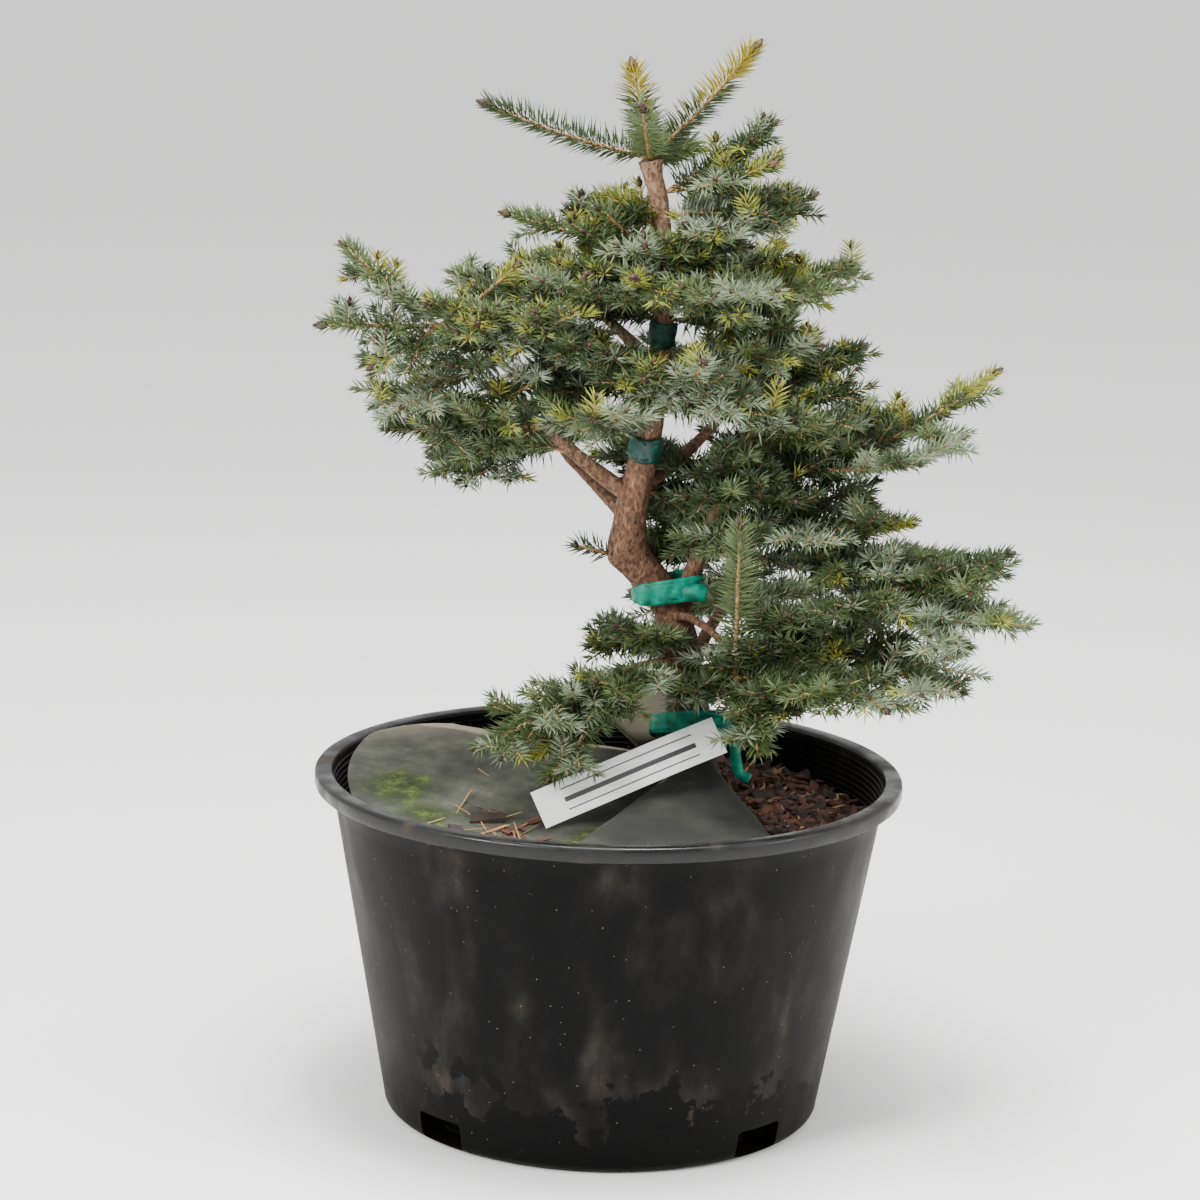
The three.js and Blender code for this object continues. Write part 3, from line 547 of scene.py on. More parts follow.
# Chips and straws that have blown on to the left flap; each spot is across, out, spread and count.
MAT_LITTER = {
    "bark_chips_red": [(0.85, 0.74, 0.07, 17), (0.9, 0.8, 0.045, 9)],
    "bark_chips_dark": [(0.8, 0.78, 0.08, 9)],
    "dead_straws": [(0.64, 0.74, 0.13, 14), (0.82, 0.7, 0.08, 9)],
}
LITTER_SCALE = 1.15
for litter_seed, (chip_name, centres) in enumerate(MAT_LITTER.items()):
    litter_draw = np.random.default_rng(40 + litter_seed)
    spots = [litter_draw.normal((u, v), spread, (count, 2)) for u, v, spread, count in centres]
    spots = np.clip(np.concatenate(spots), 0.04, 0.96)
    spots = mat_places(spots[:, 0], spots[:, 1], MAT_FLAPS["weed_mat_left"]) + (0, 0, MAT_THICK + 0.001)
    _, chip_long, chip_slim, _ = CHIP_KINDS[chip_name]
    litter = scatter_chips(chip_name + "_on_mat", spots, LITTER_SCALE * chip_long, chip_slim,
                           chip_materials[chip_name], litter_seed)
    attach(litter, "root")

# Trunk and limbs
# The trunk leans left out of the mix, turns at an old knot and runs up straight; a thinner second
# stem forks from it. Scaly brown bark turns smooth and pinkish towards the top.
# Each point is x, y, z and radius in millimetres, from the root end to the tip.
LIMBS = {
    "trunk": [
        (63, 42, 229, 24), (61, 42, 250, 19), (57, 42, 290, 16), (50, 40, 335, 14.5), (40, 38, 372, 13.5),
        (15, 31, 405, 13), (10, 27, 424, 13), (12, 25, 450, 11.5), (21, 22, 495, 10), (26, 20, 540, 9),
        (30, 18, 576, 8), (29, 16, 627, 7), (26, 16, 663, 6.5), (20, 16, 688, 7), (18, 16, 698, 9.5)],
    "second_stem": [
        (44, 39, 352, 8), (60, 38, 401, 6.8), (74, 36, 439, 6.2), (86, 32, 466, 5.6), (95, 30, 496, 5),
        (100, 28, 526, 4)],
    "left_upper_bough": [(26, 20, 545, 5.5), (-20, 8, 556, 4.5), (-72, -5, 573, 3.8), (-128, -14, 579, 3)],
    "left_lower_bough": [(12, 26, 452, 7), (-20, 18, 476, 5.5), (-53, 5, 506, 4.2)],
    "right_low_bough": [(54, 41, 312, 7), (98, 14, 338, 5.5), (142, -8, 368, 4.6), (180, -28, 394, 3.6)],
    "bent_front_twig": [(42, 38, 362, 4), (58, 10, 366, 3), (78, -16, 356, 2.8), (88, -30, 335, 2.6)],
    "front_low_bough": [(57, 42, 300, 6), (66, 10, 326, 4.6), (46, -12, 338, 4), (20, -20, 338, 3.4)],
    "back_low_bough": [(56, 42, 305, 6.5), (66, 84, 330, 5.2), (84, 126, 352, 4)],
    "back_left_bough": [(10, 27, 434, 6), (-12, 60, 452, 5), (-42, 96, 474, 3.8)],
    "back_right_bough": [(14, 25, 456, 6), (44, 62, 474, 4.8), (76, 98, 500, 3.6)],
    "back_upper_bough": [(27, 19, 550, 5), (4, 54, 566, 4.2), (-22, 88, 584, 3.2)],
}
MM = 0.001


def smooth_path(points, step):
    """Points every step along a curve through the given points, as many columns as they have."""
    points = np.array(points, dtype=float)
    padded = np.vstack([2 * points[0] - points[1], points, 2 * points[-1] - points[-2]])
    rows = []
    for a, b, c, d in zip(padded, padded[1:], padded[2:], padded[3:]):
        count = max(2, int(np.linalg.norm((c - b)[:3]) / step))
        t = np.linspace(0, 1, count, endpoint=False)[:, None]
        rows.append(0.5 * (2 * b + (c - a) * t + (2 * a - 5 * b + 4 * c - d) * t ** 2
                           + (3 * b - a - 3 * c + d) * t ** 3))
    return np.vstack([*rows, points[-1:]])


def unit(vectors):
    return vectors / np.maximum(np.linalg.norm(vectors, axis=-1, keepdims=True), 1e-9)


def path_axes(path):
    """The way a path runs at each point, and two axes square to it that don't twist."""
    way = unit(np.gradient(path, axis=0))
    across = np.empty_like(way)
    start = np.cross((0, 1, 0), way[0])
    across[0] = unit(start if np.linalg.norm(start) > 0.2 else np.cross((1, 0, 0), way[0]))
    for i in range(1, len(way)):
        across[i] = unit(across[i - 1] - way[i] * np.dot(across[i - 1], way[i]))
    return way, across, np.cross(way, across)


def spokes(path, sides):
    """Unit vectors square to a path at each of its points, all the way round."""
    _, across, over = path_axes(path)
    turn = np.linspace(0, 2 * math.pi, sides, endpoint=False)
    return np.cos(turn)[None, :, None] * across[:, None] + np.sin(turn)[None, :, None] * over[:, None]


def tube(path, radii, sides):
    """Rings of places round a path and the triangles between them, closed at both ends."""
    radii = np.broadcast_to(np.asarray(radii, dtype=float).reshape(len(path), -1), (len(path), sides))
    rings = path[:, None] + spokes(path, sides) * radii[..., None]
    places = np.concatenate([rings.reshape(-1, 3), path[:1], path[-1:]])
    i = np.arange(len(path) - 1)[:, None] * sides
    j = np.arange(sides)[None]
    k = (j + 1) % sides
    lower = np.stack([i + j, i + k, i + sides + j], -1).reshape(-1, 3)
    upper = np.stack([i + k, i + sides + k, i + sides + j], -1).reshape(-1, 3)
    j, k = j[0], k[0]
    last = (len(path) - 1) * sides
    first_cap = np.stack([k, j, np.full(sides, len(places) - 2)], -1)
    last_cap = np.stack([last + j, last + k, np.full(sides, len(places) - 1)], -1)
    return places, np.concatenate([lower, upper, first_cap, last_cap])


KNOT = np.array([2, 28, 408])
KNOT_SPREAD = 9
KNOT_RISE = 4.5
PLATE_RISE = 0.75
LUMP_SHARE = 0.07


def bark_radii(path, radii, sides, scaly):
    """The radius at each side of each ring, with lumps, plates and cracks, and the old knot."""
    out = np.empty((len(path), sides))
    for i, (centre, radius, ring) in enumerate(zip(path, radii, spokes(path, sides))):
        for j, spoke in enumerate(ring):
            spot = centre + radius * spoke
            plates = noise.fractal(Vector(spot * (0.22, 0.22, 0.12)), 0.9, 2.2, 4)
            lumps = noise.noise(Vector(spot * 0.045))
            out[i, j] = radius * (1 + LUMP_SHARE * lumps) + scaly * PLATE_RISE * plates
            if scaly == 1:
                away = np.sum((spot - KNOT) ** 2)
                out[i, j] += KNOT_RISE * math.exp(-away / (2 * KNOT_SPREAD ** 2))
    return out


limb_meshes = []
for limb_name, limb_points in LIMBS.items():
    step, sides, scaly = (1.6, 36, 1) if limb_name == "trunk" else (2.2, 14, 0.35)
    path = smooth_path(limb_points, step)
    if limb_name != "trunk":
        path[-6:, 3] *= np.linspace(1, 0.62, 6)  # the last centimetre tapers into the shoot
    radii = bark_radii(path[:, :3], path[:, 3], sides, scaly)
    limb_meshes.append((limb_name, *tube(path[:, :3], radii, sides)))

# Spruce bark: thin loose plates, grey-brown outside and red-brown in the cracks, paler and pinker on
# the young wood above, and darker by the mix, where painted shade stands for the shadow of the low boughs.
bark = new_material("spruce_bark", Roughness=0.9)
bark_place = add_node(bark, "TexCoord").outputs["Object"]
bark_height = add_node(bark, "SeparateXYZ", bark_place).outputs["Z"]
bark_map = add_node(bark, "Mapping", bark_place, Scale=(1, 1, 0.5))
bark_plates = add_node(bark, "TexVoronoi", bark_map, Scale=560)
plate_tint = add_node(bark, "SeparateXYZ", bark_plates.outputs["Color"])
bark_cloud = add_node(bark, "TexNoise", bark_map, Scale=380, Detail=8, Roughness=0.7)
bark_mixed = add_node(bark, "Math", plate_tint, 0.22, bark_cloud, operation="MULTIPLY_ADD")
old_bark = add_node(bark, "ValToRGB", bark_mixed, stops=[
    (0.36, "#26160d"), (0.52, "#4d3322"), (0.7, "#704f38"), (0.95, "#a1866c")])
young_bark = add_node(bark, "ValToRGB", bark_mixed, stops=[
    (0.34, "#3d2819"), (0.5, "#75543f"), (0.7, "#a58268"), (0.95, "#cdb09a")])
bark_age = add_node(bark, "MapRange", bark_height, From_Min=0.44, From_Max=0.6)
bark_colour = add_node(bark, "Mix", bark_age, old_bark, young_bark, data_type="RGBA")
# Painted shade: the trunk darkens from 0.33 m down to 0.28 m, under the low boughs.
bark_foot_shade = add_node(bark, "MapRange", bark_height, From_Min=0.33, From_Max=0.28, To_Max=0.85)
bark_shaded = add_node(bark, "Mix", bark_foot_shade, bark_colour, hex_colour("#7a6a5e"),
                       data_type="RGBA", blend_type="MULTIPLY")
bark_bump = add_node(bark, "Bump", Strength=0.8, Distance=0.0012, Height=bark_mixed)
set_shader(bark, Base_Color=bark_shaded, Normal=bark_bump)

for limb_name, places, faces in limb_meshes:
    limb = mesh_piece(limb_name + "_bark", places * MM, faces, [bark])
    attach(limb, "root")
    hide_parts(limb_name)

# Tie tapes
# Green stretch vinyl tape is wound round the trunk to train it, and once round both stems at the
# fork; each end is tucked or left to hang.


def limb_at(points, share):
    """The centre, way and radius of a limb a share of the way along it."""
    points = np.array(points, dtype=float)
    steps = np.linalg.norm(np.diff(points[:, :3], axis=0), axis=1)
    left = share * steps.sum()
    i = 0
    while i < len(steps) - 1 and left > steps[i]:
        left -= steps[i]
        i += 1
    t = min(left / steps[i], 1)
    here = points[i] + t * (points[i + 1] - points[i])
    return here[:3], unit(points[i + 1, :3] - points[i, :3]), here[3]


def strip_faces(rows, columns):
    """The four-sided faces of a grid of places."""
    i = np.arange(rows - 1)[:, None] * columns
    j = np.arange(columns - 1)[None]
    return np.stack([i + j, i + j + columns, i + j + columns + 1, i + j + 1], -1).reshape(-1, 4)


TAPE_WINDS = 2
TAPE_SLACK = 0.012  # the share by which each turn is wider than the one beneath
BAND_ROWS = 72 * TAPE_WINDS
BAND_COLUMNS = 7


def wound_band(centre, way, half_long, half_deep, width, seed, power=2):
    """The places and faces of a strip wound round an oval. A power over 2 makes the oval squarer
    than an ellipse."""
    draw = np.random.default_rng(seed)
    turn = np.linspace(0, 2 * math.pi * TAPE_WINDS, BAND_ROWS)
    wobble = 0.0009 * np.sin(3 * turn + draw.uniform(0, 6))
    wobble += 0.0016 * np.sin(turn / TAPE_WINDS + draw.uniform(0, 6))
    across = np.linspace(-0.5, 0.5, BAND_COLUMNS)
    _, side, over = path_axes(np.array([centre, centre + way, centre + 2 * way]))
    crease = 0.0004 * np.sin(9 * turn[:, None] + 7 * across[None])
    grow = 1 + crease / half_deep + TAPE_SLACK * (turn / (2 * math.pi))[:, None]
    reach = [np.sign(v) * np.abs(v) ** (2 / power) for v in (np.cos(turn), np.sin(turn))]
    oval = reach[0][:, None] * half_long * side[0] + reach[1][:, None] * half_deep * over[0]
    rows = centre + grow[..., None] * oval[:, None] + (across * width + wobble[:, None])[..., None] * way
    return rows.reshape(-1, 3), strip_faces(BAND_ROWS, BAND_COLUMNS)


# Stretched vinyl: thin, satin, see-through enough that light glows in it, with pull creases. The
# bands on the trunk inside the crown take a dark green copy of it, which is painted shade. Each has
# its gloss, its glow, and the scale, the detail and the colours of its mottling, from hollow to crest.
VINYLS = {
    "green_stretch_vinyl": (0.25, 0.1, 120, 5, [(0.3, "#005540"), (0.5, "#007c63"), (0.72, "#00a787")]),
    # Painted shade: a dark copy of the green vinyl, for the bands on the trunk inside the crown.
    "weathered_stretch_vinyl": (0.5, 0, 150, 6, [(0.3, "#072a20"), (0.5, "#0b4236"), (0.72, "#1c6152")]),
}
vinyls = {}
for vinyl_name, (gloss, glow, *mottling) in VINYLS.items():
    vinyls[vinyl_name] = mottled_material(vinyl_name, *mottling, 0.5, 0.001, IOR=1.53, Roughness=0.5,
                                          Specular_IOR_Level=gloss, Subsurface_Weight=glow)

TAPE_WIDTH = 0.0155
TAPE_BANDS = {"tape_middle": 0.566, "tape_upper": 0.742}
# A loop round more than one thing: its centre, half its length and depth, its width, how far it
# leans to the right and forward in degrees, and its seed.
LOOPS = {
    "tape_fork": ((0.040, 0.0365, 0.3835), 0.0262, 0.0166, TAPE_WIDTH, (-6, 0), 5),
    "tag_tie": ((0.058, 0.0404, 0.278), 0.0284, 0.0254, 0.013, (0, -22), 9),
}
LOOP_POWER = 2.5
TAILS = {
    "tag_tie_tail": (0.008, [(62, 17, 287), (74, 15, 289), (84, 15, 287), (91, 17, 278), (93, 17, 262),
                             (96, 17, 250), (104, 16, 245)]),
    "tape_fork_tail": (0.013, [(50, 20, 383), (56, 18.5, 384), (62, 18, 384), (68, 19, 383)]),
}
TAIL_COLUMNS = 5


def ribbon(points, width, face_way):
    """A strip along a smooth path, as wide as width and square to face_way, as places and faces."""
    path = smooth_path(np.array(points) * MM, 0.0015)
    side = unit(np.cross(unit(np.gradient(path, axis=0)), face_way))
    across = np.linspace(-0.5, 0.5, TAIL_COLUMNS)[None, :, None]
    fold = 0.0012 * np.cos(across * 2 * math.pi)
    rows = path[:, None] + across * width * side[:, None] + fold * np.array(face_way)
    return rows.reshape(-1, 3), strip_faces(len(path), TAIL_COLUMNS)


def finish_tape(name, places, faces, vinyl_name, node=None):
    tape = mesh_piece(name, places, faces, [vinyls[vinyl_name]])
    apply_modifier(tape, "SOLIDIFY", thickness=0.0004, offset=0)
    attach(tape, "root")
    if node:
        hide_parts(node)


for tape_seed, (tape_name, share) in enumerate(TAPE_BANDS.items()):
    centre, way, radius = limb_at(LIMBS["trunk"], share)
    size = (radius + 1.7) * MM
    band = wound_band(centre * MM, way, size, size, TAPE_WIDTH, tape_seed)
    # The trunk bands take the dark copy of the vinyl, which is painted shade.
    finish_tape(tape_name + "_vinyl", *band, "weathered_stretch_vinyl", tape_name)
for loop_name, (centre, half_long, half_deep, width, lean, loop_seed) in LOOPS.items():
    aside, forward = np.radians(lean)
    way = np.array([math.sin(aside), -math.sin(forward), math.cos(aside + forward)])
    band = wound_band(np.array(centre), way, half_long, half_deep, width, loop_seed, LOOP_POWER)
    finish_tape(loop_name + "_vinyl", *band, "green_stretch_vinyl", loop_name)
for tail_name, (tail_width, tail_points) in TAILS.items():
    finish_tape(tail_name, *ribbon(tail_points, tail_width, (0, -1, 0.2)), "green_stretch_vinyl")

# Label
# A long slip of white plastic, one end under the tie at the trunk and the other on the mat, bowed
# by its own spring. It is bare but for three ruled lines.
TAG = {"long": 0.148, "wide": 0.028, "thick": 0.0007, "bow": 0.005, "wave": 0.0008}
TAG_PLACE = {"at": (0.015, -0.049, 0.2647), "turn": 23, "rise": 18.2, "tilt": 64}

label = flat_grid("plain_label", 60, 10)
flat = mesh_places(label)
u, v = 2 * flat[:, 0], 2 * flat[:, 1]
strip = np.column_stack([u * TAG["long"] / 2, v * TAG["wide"] / 2,
                         TAG["bow"] * (1 - u * u) + TAG["wave"] * np.sin(5 * u)])
turned = (turn_about("Z", math.radians(TAG_PLACE["turn"])) @ turn_about("Y", -math.radians(TAG_PLACE["rise"]))
          @ turn_about("X", math.radians(TAG_PLACE["tilt"])))
set_mesh_places(label, strip @ turned.T + TAG_PLACE["at"])
apply_modifier(label, "SOLIDIFY", thickness=TAG["thick"], offset=0)
apply_modifier(label, "BEVEL", width=0.0002, segments=2)
bpy.ops.object.shade_smooth_by_angle(angle=math.radians(40))

# Printed polystyrene slip: bright white, satin, a little soiled, with fine dark ruling.
slip = new_material("white_plastic_slip", IOR=1.55, Roughness=0.38)
slip_uv = add_node(slip, "TexCoord").outputs["UV"]
slip_axes = add_node(slip, "SeparateXYZ", slip_uv)
slip_lines = add_node(slip, "ValToRGB", slip_axes.outputs["Y"], stops=[
    (0, "#000000"), (0.2, "#ffffff"), (0.235, "#000000"), (0.42, "#ffffff"), (0.55, "#000000"),
    (0.76, "#ffffff"), (0.795, "#000000")])
slip_lines.color_ramp.interpolation = "CONSTANT"
slip_ends = add_node(slip, "Math", slip_axes.outputs["X"], 0.5, 0.36, operation="COMPARE")
line_mask = add_node(slip, "Math", slip_lines, slip_ends, operation="MULTIPLY")
soil_cloud = add_node(slip, "TexNoise", slip_uv, Scale=7, Detail=6)
soil_tint = add_node(slip, "ValToRGB", soil_cloud, stops=[
    (0.4, "#fbfbfa"), (0.62, "#f1f0ec"), (0.85, "#dcd9cf")])
slip_colour = add_node(slip, "Mix", line_mask, soil_tint, hex_colour("#3c3d40"), data_type="RGBA")
set_shader(slip, Base_Color=slip_colour)
label.data.materials.append(slip)
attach(label, "root")
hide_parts("tag")

# Foliage
# Shoots branch from each limb by the same rule as the solids, and each side shoot carries finer
# ones. Stiff flattened needles stand all round them, dark above and pale-banded beneath, and every
# shoot ends in a scaly bud. The top of this golden form is lit yellow.
# A mass is its name, its limb, how far along that it springs, and its arms. An arm is turn and rise
# in degrees, length, bow in degrees, number of side shoots, length of those.
MASSES = [
    ("crown_whorl", "trunk", 1, [
        (-9, 48, 106, 3, 0, 0), (116, 62, 68, 0, 0, 0), (-96, 32, 72, 5, 0, 0), (-169, 17, 122, 4, 0, 0),
        (66, 4, 72, 4, 1, 24)]),
    ("crown_right", "trunk", 0.945, [(-20, 34, 92, 3, 2, 30), (-37, 16, 90, 5, 3, 36)]),
    ("crown_back", "trunk", 0.9, [(120, 8, 86, 4, 3, 34), (175, 6, 62, 3, 2, 26)]),
    ("upper_left", "trunk", 0.865, [(-165, 13, 108, 3, 2, 30), (-140, 32, 58, 4, 0, 0)]),
    ("upper_left_low", "trunk", 0.82, [(-158, 2, 98, 3, 3, 44), (-128, 8, 70, 3, 2, 34)]),
    ("upper_right", "trunk", 0.85, [(-9, 26, 106, 4, 3, 44), (-45, 24, 88, 4, 3, 38)]),
    ("upper_right_far", "trunk", 0.8, [(5, 8, 130, 3, 4, 50), (40, 16, 104, 3, 3, 44)]),
    ("upper_front", "trunk", 0.83, [(-100, 20, 74, 5, 2, 30), (-72, 26, 66, 5, 2, 28)]),
    ("upper_front_low", "trunk", 0.79, [(-103, 16, 86, 4, 3, 36), (-138, 6, 92, 4, 3, 38)]),
    ("front_right_tuft", "trunk", 0.785, [(-52, 11, 116, 4, 4, 46)]),
    ("upper_back", "trunk", 0.81, [(95, 12, 108, 4, 3, 44), (142, 6, 104, 3, 3, 44)]),
    ("middle_right", "trunk", 0.7, [(-20, 9, 108, 3, 3, 50)]),
    ("middle_front", "trunk", 0.68, [(-95, 6, 92, 4, 3, 40)]),
    ("front_right_rise", "trunk", 0.625, [(-75, 22, 130, 8, 3, 44), (-38, 4, 104, 3, 3, 46)]),
    ("middle_back", "trunk", 0.67, [(62, 8, 122, 4, 4, 50)]),
    ("left_front_tuft", "left_upper_bough", 0.36, [(-112, 25, 86, 4, 3, 38), (-168, -30, 106, 6, 4, 44)]),
    ("left_middle", "left_upper_bough", 0.55, [(-172, -22, 122, 3, 4, 50), (158, -4, 84, 3, 3, 40)]),
    ("left_tips", "left_upper_bough", 1, [
        (-167, 40, 88, 2, 2, 26), (-172, 0, 80, 0, 2, 30), (-25, 38, 76, 4, 0, 0),
        (-140, -24, 60, 4, 2, 28)]),
    ("left_lower_tips", "left_lower_bough", 1, [(-160, 0, 116, 3, 4, 46), (-168, -22, 66, 3, 2, 34)]),
    ("left_lower_back", "left_lower_bough", 0.6, [(158, 14, 118, 3, 4, 48)]),
    ("left_front_low", "trunk", 0.6, [(-110, 10, 110, 4, 3, 44), (-150, 4, 78, 3, 2, 36)]),
    ("stem_top", "second_stem", 1, [
        (-80, 62, 62, 2, 0, 0), (-18, 29, 86, 4, 3, 36), (70, 34, 92, 4, 3, 40)]),
    ("stem_right", "second_stem", 0.82, [(0, 12, 108, 4, 3, 44), (-60, 18, 88, 4, 3, 38)]),
    ("stem_back_right", "second_stem", 0.72, [(48, 12, 150, 3, 4, 54)]),
    ("long_right", "second_stem", 0.62, [(-13, 27, 207, 10, 5, 44)]),
    ("right_middle", "second_stem", 0.5, [(-25, 3, 142, 3, 4, 54), (-75, -6, 70, 3, 2, 34)]),
    ("right_low", "second_stem", 0.33, [(-15, 4, 186, 4, 6, 56)]),
    ("stem_back_low", "second_stem", 0.26, [(76, 10, 118, 3, 5, 50), (118, 6, 76, 3, 2, 40)]),
    ("low_right_tips", "right_low_bough", 1, [(-18, 21, 108, 3, 4, 44), (-23, -5, 118, 3, 4, 46)]),
    ("low_right_under", "right_low_bough", 0.6, [(-36, -8, 140, 1, 4, 54), (-58, -16, 112, 1, 3, 46)]),
    ("low_right_back", "right_low_bough", 0.72, [(34, -2, 146, 3, 4, 54)]),
    ("front_spray", "bent_front_twig", 1, [
        (-92, 72, 122, 2, 0, 0), (-70, -42, 66, -6, 2, 26), (-38, 3, 66, 3, 2, 34)]),
    ("low_front_tuft", "trunk", 0.235, [(-118, 17, 84, 4, 2, 30), (-162, -2, 60, 2, 2, 22)]),
    ("knob_twig", "trunk", 0.385, [(-172, 14, 30, 0, 0, 0)]),
    ("droop", "front_low_bough", 1, [
        (-158, -24, 132, 1, 5, 42), (-132, -38, 112, 2, 3, 34), (-100, -8, 64, 3, 2, 28)]),
    ("back_low", "back_low_bough", 1, [(62, -2, 120, 3, 4, 52), (112, -10, 118, 3, 4, 50)]),
    ("back_left", "back_left_bough", 1, [
        (138, 4, 122, 3, 4, 50), (-170, -4, 96, 3, 3, 44), (96, 12, 100, 3, 3, 46)]),
    ("back_right", "back_right_bough", 1, [(36, 8, 112, 3, 3, 48), (92, 12, 102, 3, 4, 48)]),
    ("back_upper", "back_upper_bough", 1, [(114, 16, 100, 3, 3, 44), (172, 6, 104, 3, 4, 44)]),
]
ARM_PIECES = 3


def seeded(seed):
    """Park and Miller's rule: the same seed gives the same twigs each time."""
    state = seed
    while True:
        state = (state * 48271) % 2147483647
        yield state / 2147483647


def direction(turn, rise):
    turn, rise = math.radians(turn), math.radians(rise)
    return np.array([math.cos(rise) * math.cos(turn), math.cos(rise) * math.sin(turn), math.sin(rise)])


def arm_points(start, arm):
    turn, rise, length, bow = arm[:4]
    points = [start]
    for i in range(ARM_PIECES):
        points.append(points[i] + direction(turn, rise + bow * (i - 1)) * length / ARM_PIECES)
    return np.array(points)


def along(points, share):
    at = share * (len(points) - 1)
    i = min(int(at), len(points) - 2)
    return points[i] + (points[i + 1] - points[i]) * (at - i)


def side_shoots(points, arm, random):
    """The side shoots that the solids have, left and right by turns, shorter towards the tip."""
    turn, rise, _, _, count, side = arm
    for k in range(count):
        hand = -1 if k % 2 else 1
        share = 0.16 + 0.68 * (k + 0.5) / count
        swing = 42 + 20 * next(random)
        lift = -14 + 34 * next(random)
        long = side * (1.15 - 0.5 * share) * (0.8 + 0.4 * next(random))
        start = along(points, share)
        yield start, start + direction(turn + hand * swing, 0.5 * rise + lift) * long


def spring_point(limb, share, first_arm):
    centre, way, radius = limb_at(LIMBS[limb], share)
    if share == 1:
        return centre + way * 2
    return centre + direction(first_arm[0], first_arm[1]) * (radius + 2)


limb_lines = [(np.array(a[:3]), np.array(b[:3]), max(a[3], b[3]))
              for points in LIMBS.values() for a, b in zip(points, points[1:])]


def in_limb(spots, spare):
    """Which of the spots lie in a limb, or within spare of it."""
    inside = np.zeros(len(spots), bool)
    for a, b, radius in limb_lines:
        t = np.clip(((spots - a) @ (b - a)) / np.dot(b - a, b - a), 0, 1)
        inside |= np.linalg.norm(spots - (a + t[:, None] * (b - a)), axis=1) < radius + spare
    return inside


UP = np.array([0, 0, 1])


def bent_shoot(start, end, lift, count=6):
    """Points along a shoot whose outer half turns up a little."""
    t = np.linspace(0, 1, count)[:, None]
    return start + (end - start) * t + UP * lift * (t ** 2 - t)


draw = np.random.default_rng(11)
shoots = []  # of every rank: 0 a leader, 1 an arm, 2 a side shoot, 3 a twig


def add_shoot(points, radius, rank, tint):
    shoots.append({"points": points, "radius": radius, "rank": rank, "tint": tint})


TWIG_LONG = (17, 46)  # the shortest and the longest
TWIG_RADIUS = 0.8
CLEAR_OF_LIMBS = 3


def finer_shoots(points, parent_long, count, share_from, tint):
    """Twigs on a twig, left and right by turns, in and near the plane of the spray."""
    way = unit(points[-1] - points[0])
    level = unit(np.cross((0, 0, 1), way))
    for k in range(count):
        share = share_from + (0.9 - share_from) * (k + draw.uniform(0.2, 0.8)) / count
        hand = -1 if k % 2 else 1
        long = np.clip(parent_long * draw.uniform(0.6, 0.95) * (1.25 - 0.85 * share), *TWIG_LONG)
        start = along(points, share)
        heading = unit(way * 0.8 + level * hand * 0.7 + np.array([0, 0, draw.normal(0.05, 0.34)]))
        end = start + heading * long
        if not in_limb(np.array([end]), CLEAR_OF_LIMBS)[0]:
            add_shoot(bent_shoot(start, end, 1.5, 4), TWIG_RADIUS, 3, tint)


FORK_RADIUS = 1.5
YOUNG_RADIUS = 1.1
SUNLIT_HEIGHT = 500


def forked_arm(points, arm, chances):
    """A weaker arm that forks from an arm near its foot and fills the space beside it."""
    turn, rise, length, bow, count, side = arm
    start = along(points, draw.uniform(0.1, 0.3))
    swung = turn + draw.choice((-1, 1)) * draw.uniform(16, 32)
    fork = (swung, rise + draw.uniform(-12, 16), 0.66 * length, bow, max(2, count - 2), 0.8 * side)
    fork_points = arm_points(start, fork)
    if in_limb(fork_points[1:], CLEAR_OF_LIMBS + 1).any():
        return
    tint = draw.choice(TINTS, p=chances)
    fork_path = smooth_path(fork_points, 6)
    add_shoot(fork_path, FORK_RADIUS, 2, tint)
    for shoot_start, shoot_end in side_shoots(fork_points, fork, iter(draw.random, None)):
        tint = draw.choice(TINTS, p=chances)
        bent = bent_shoot(shoot_start, shoot_end, 3)
        add_shoot(bent, YOUNG_RADIUS, 2, tint)
        finer_shoots(bent, np.linalg.norm(shoot_end - shoot_start), 2, 0.25, tint)
    finer_shoots(fork_path, side, int(length / 26), 0.15, tint)


def rosettes(path, count):
    """Short new shoots that stand up from an arm, tipped yellow-green."""
    for k in range(count):
        start = along(path, draw.uniform(0.35, 1))
        heading = unit(np.array([draw.normal(0, 0.3), draw.normal(-0.25, 0.3), 1]))
        rosette = bent_shoot(start, start + heading * draw.uniform(12, 19), 0)
        lit = 0.75 if start[2] > SUNLIT_HEIGHT else 0.2
        add_shoot(rosette, YOUNG_RADIUS, 2, "yellow" if draw.random() < lit else "grey")


TINTS = ("deep", "green", "grey", "yellow", "gold")
GREEN_HEIGHT = 540
YELLOW_HEIGHT = 690


def mass_tints(name, height):
    """How likely each tint is in a mass: yellower towards the top, and more often deep green on the shaded
    lower sprays.
    """
    if name == "crown_whorl":
        return (0.1, 0.4, 0.3, 0.2, 0)
    high = min(1, max(0, (height - GREEN_HEIGHT) / (YELLOW_HEIGHT - GREEN_HEIGHT)))
    return (0.4 - 0.16 * high, 0.36, 0.24, 0.1 * high, 0)


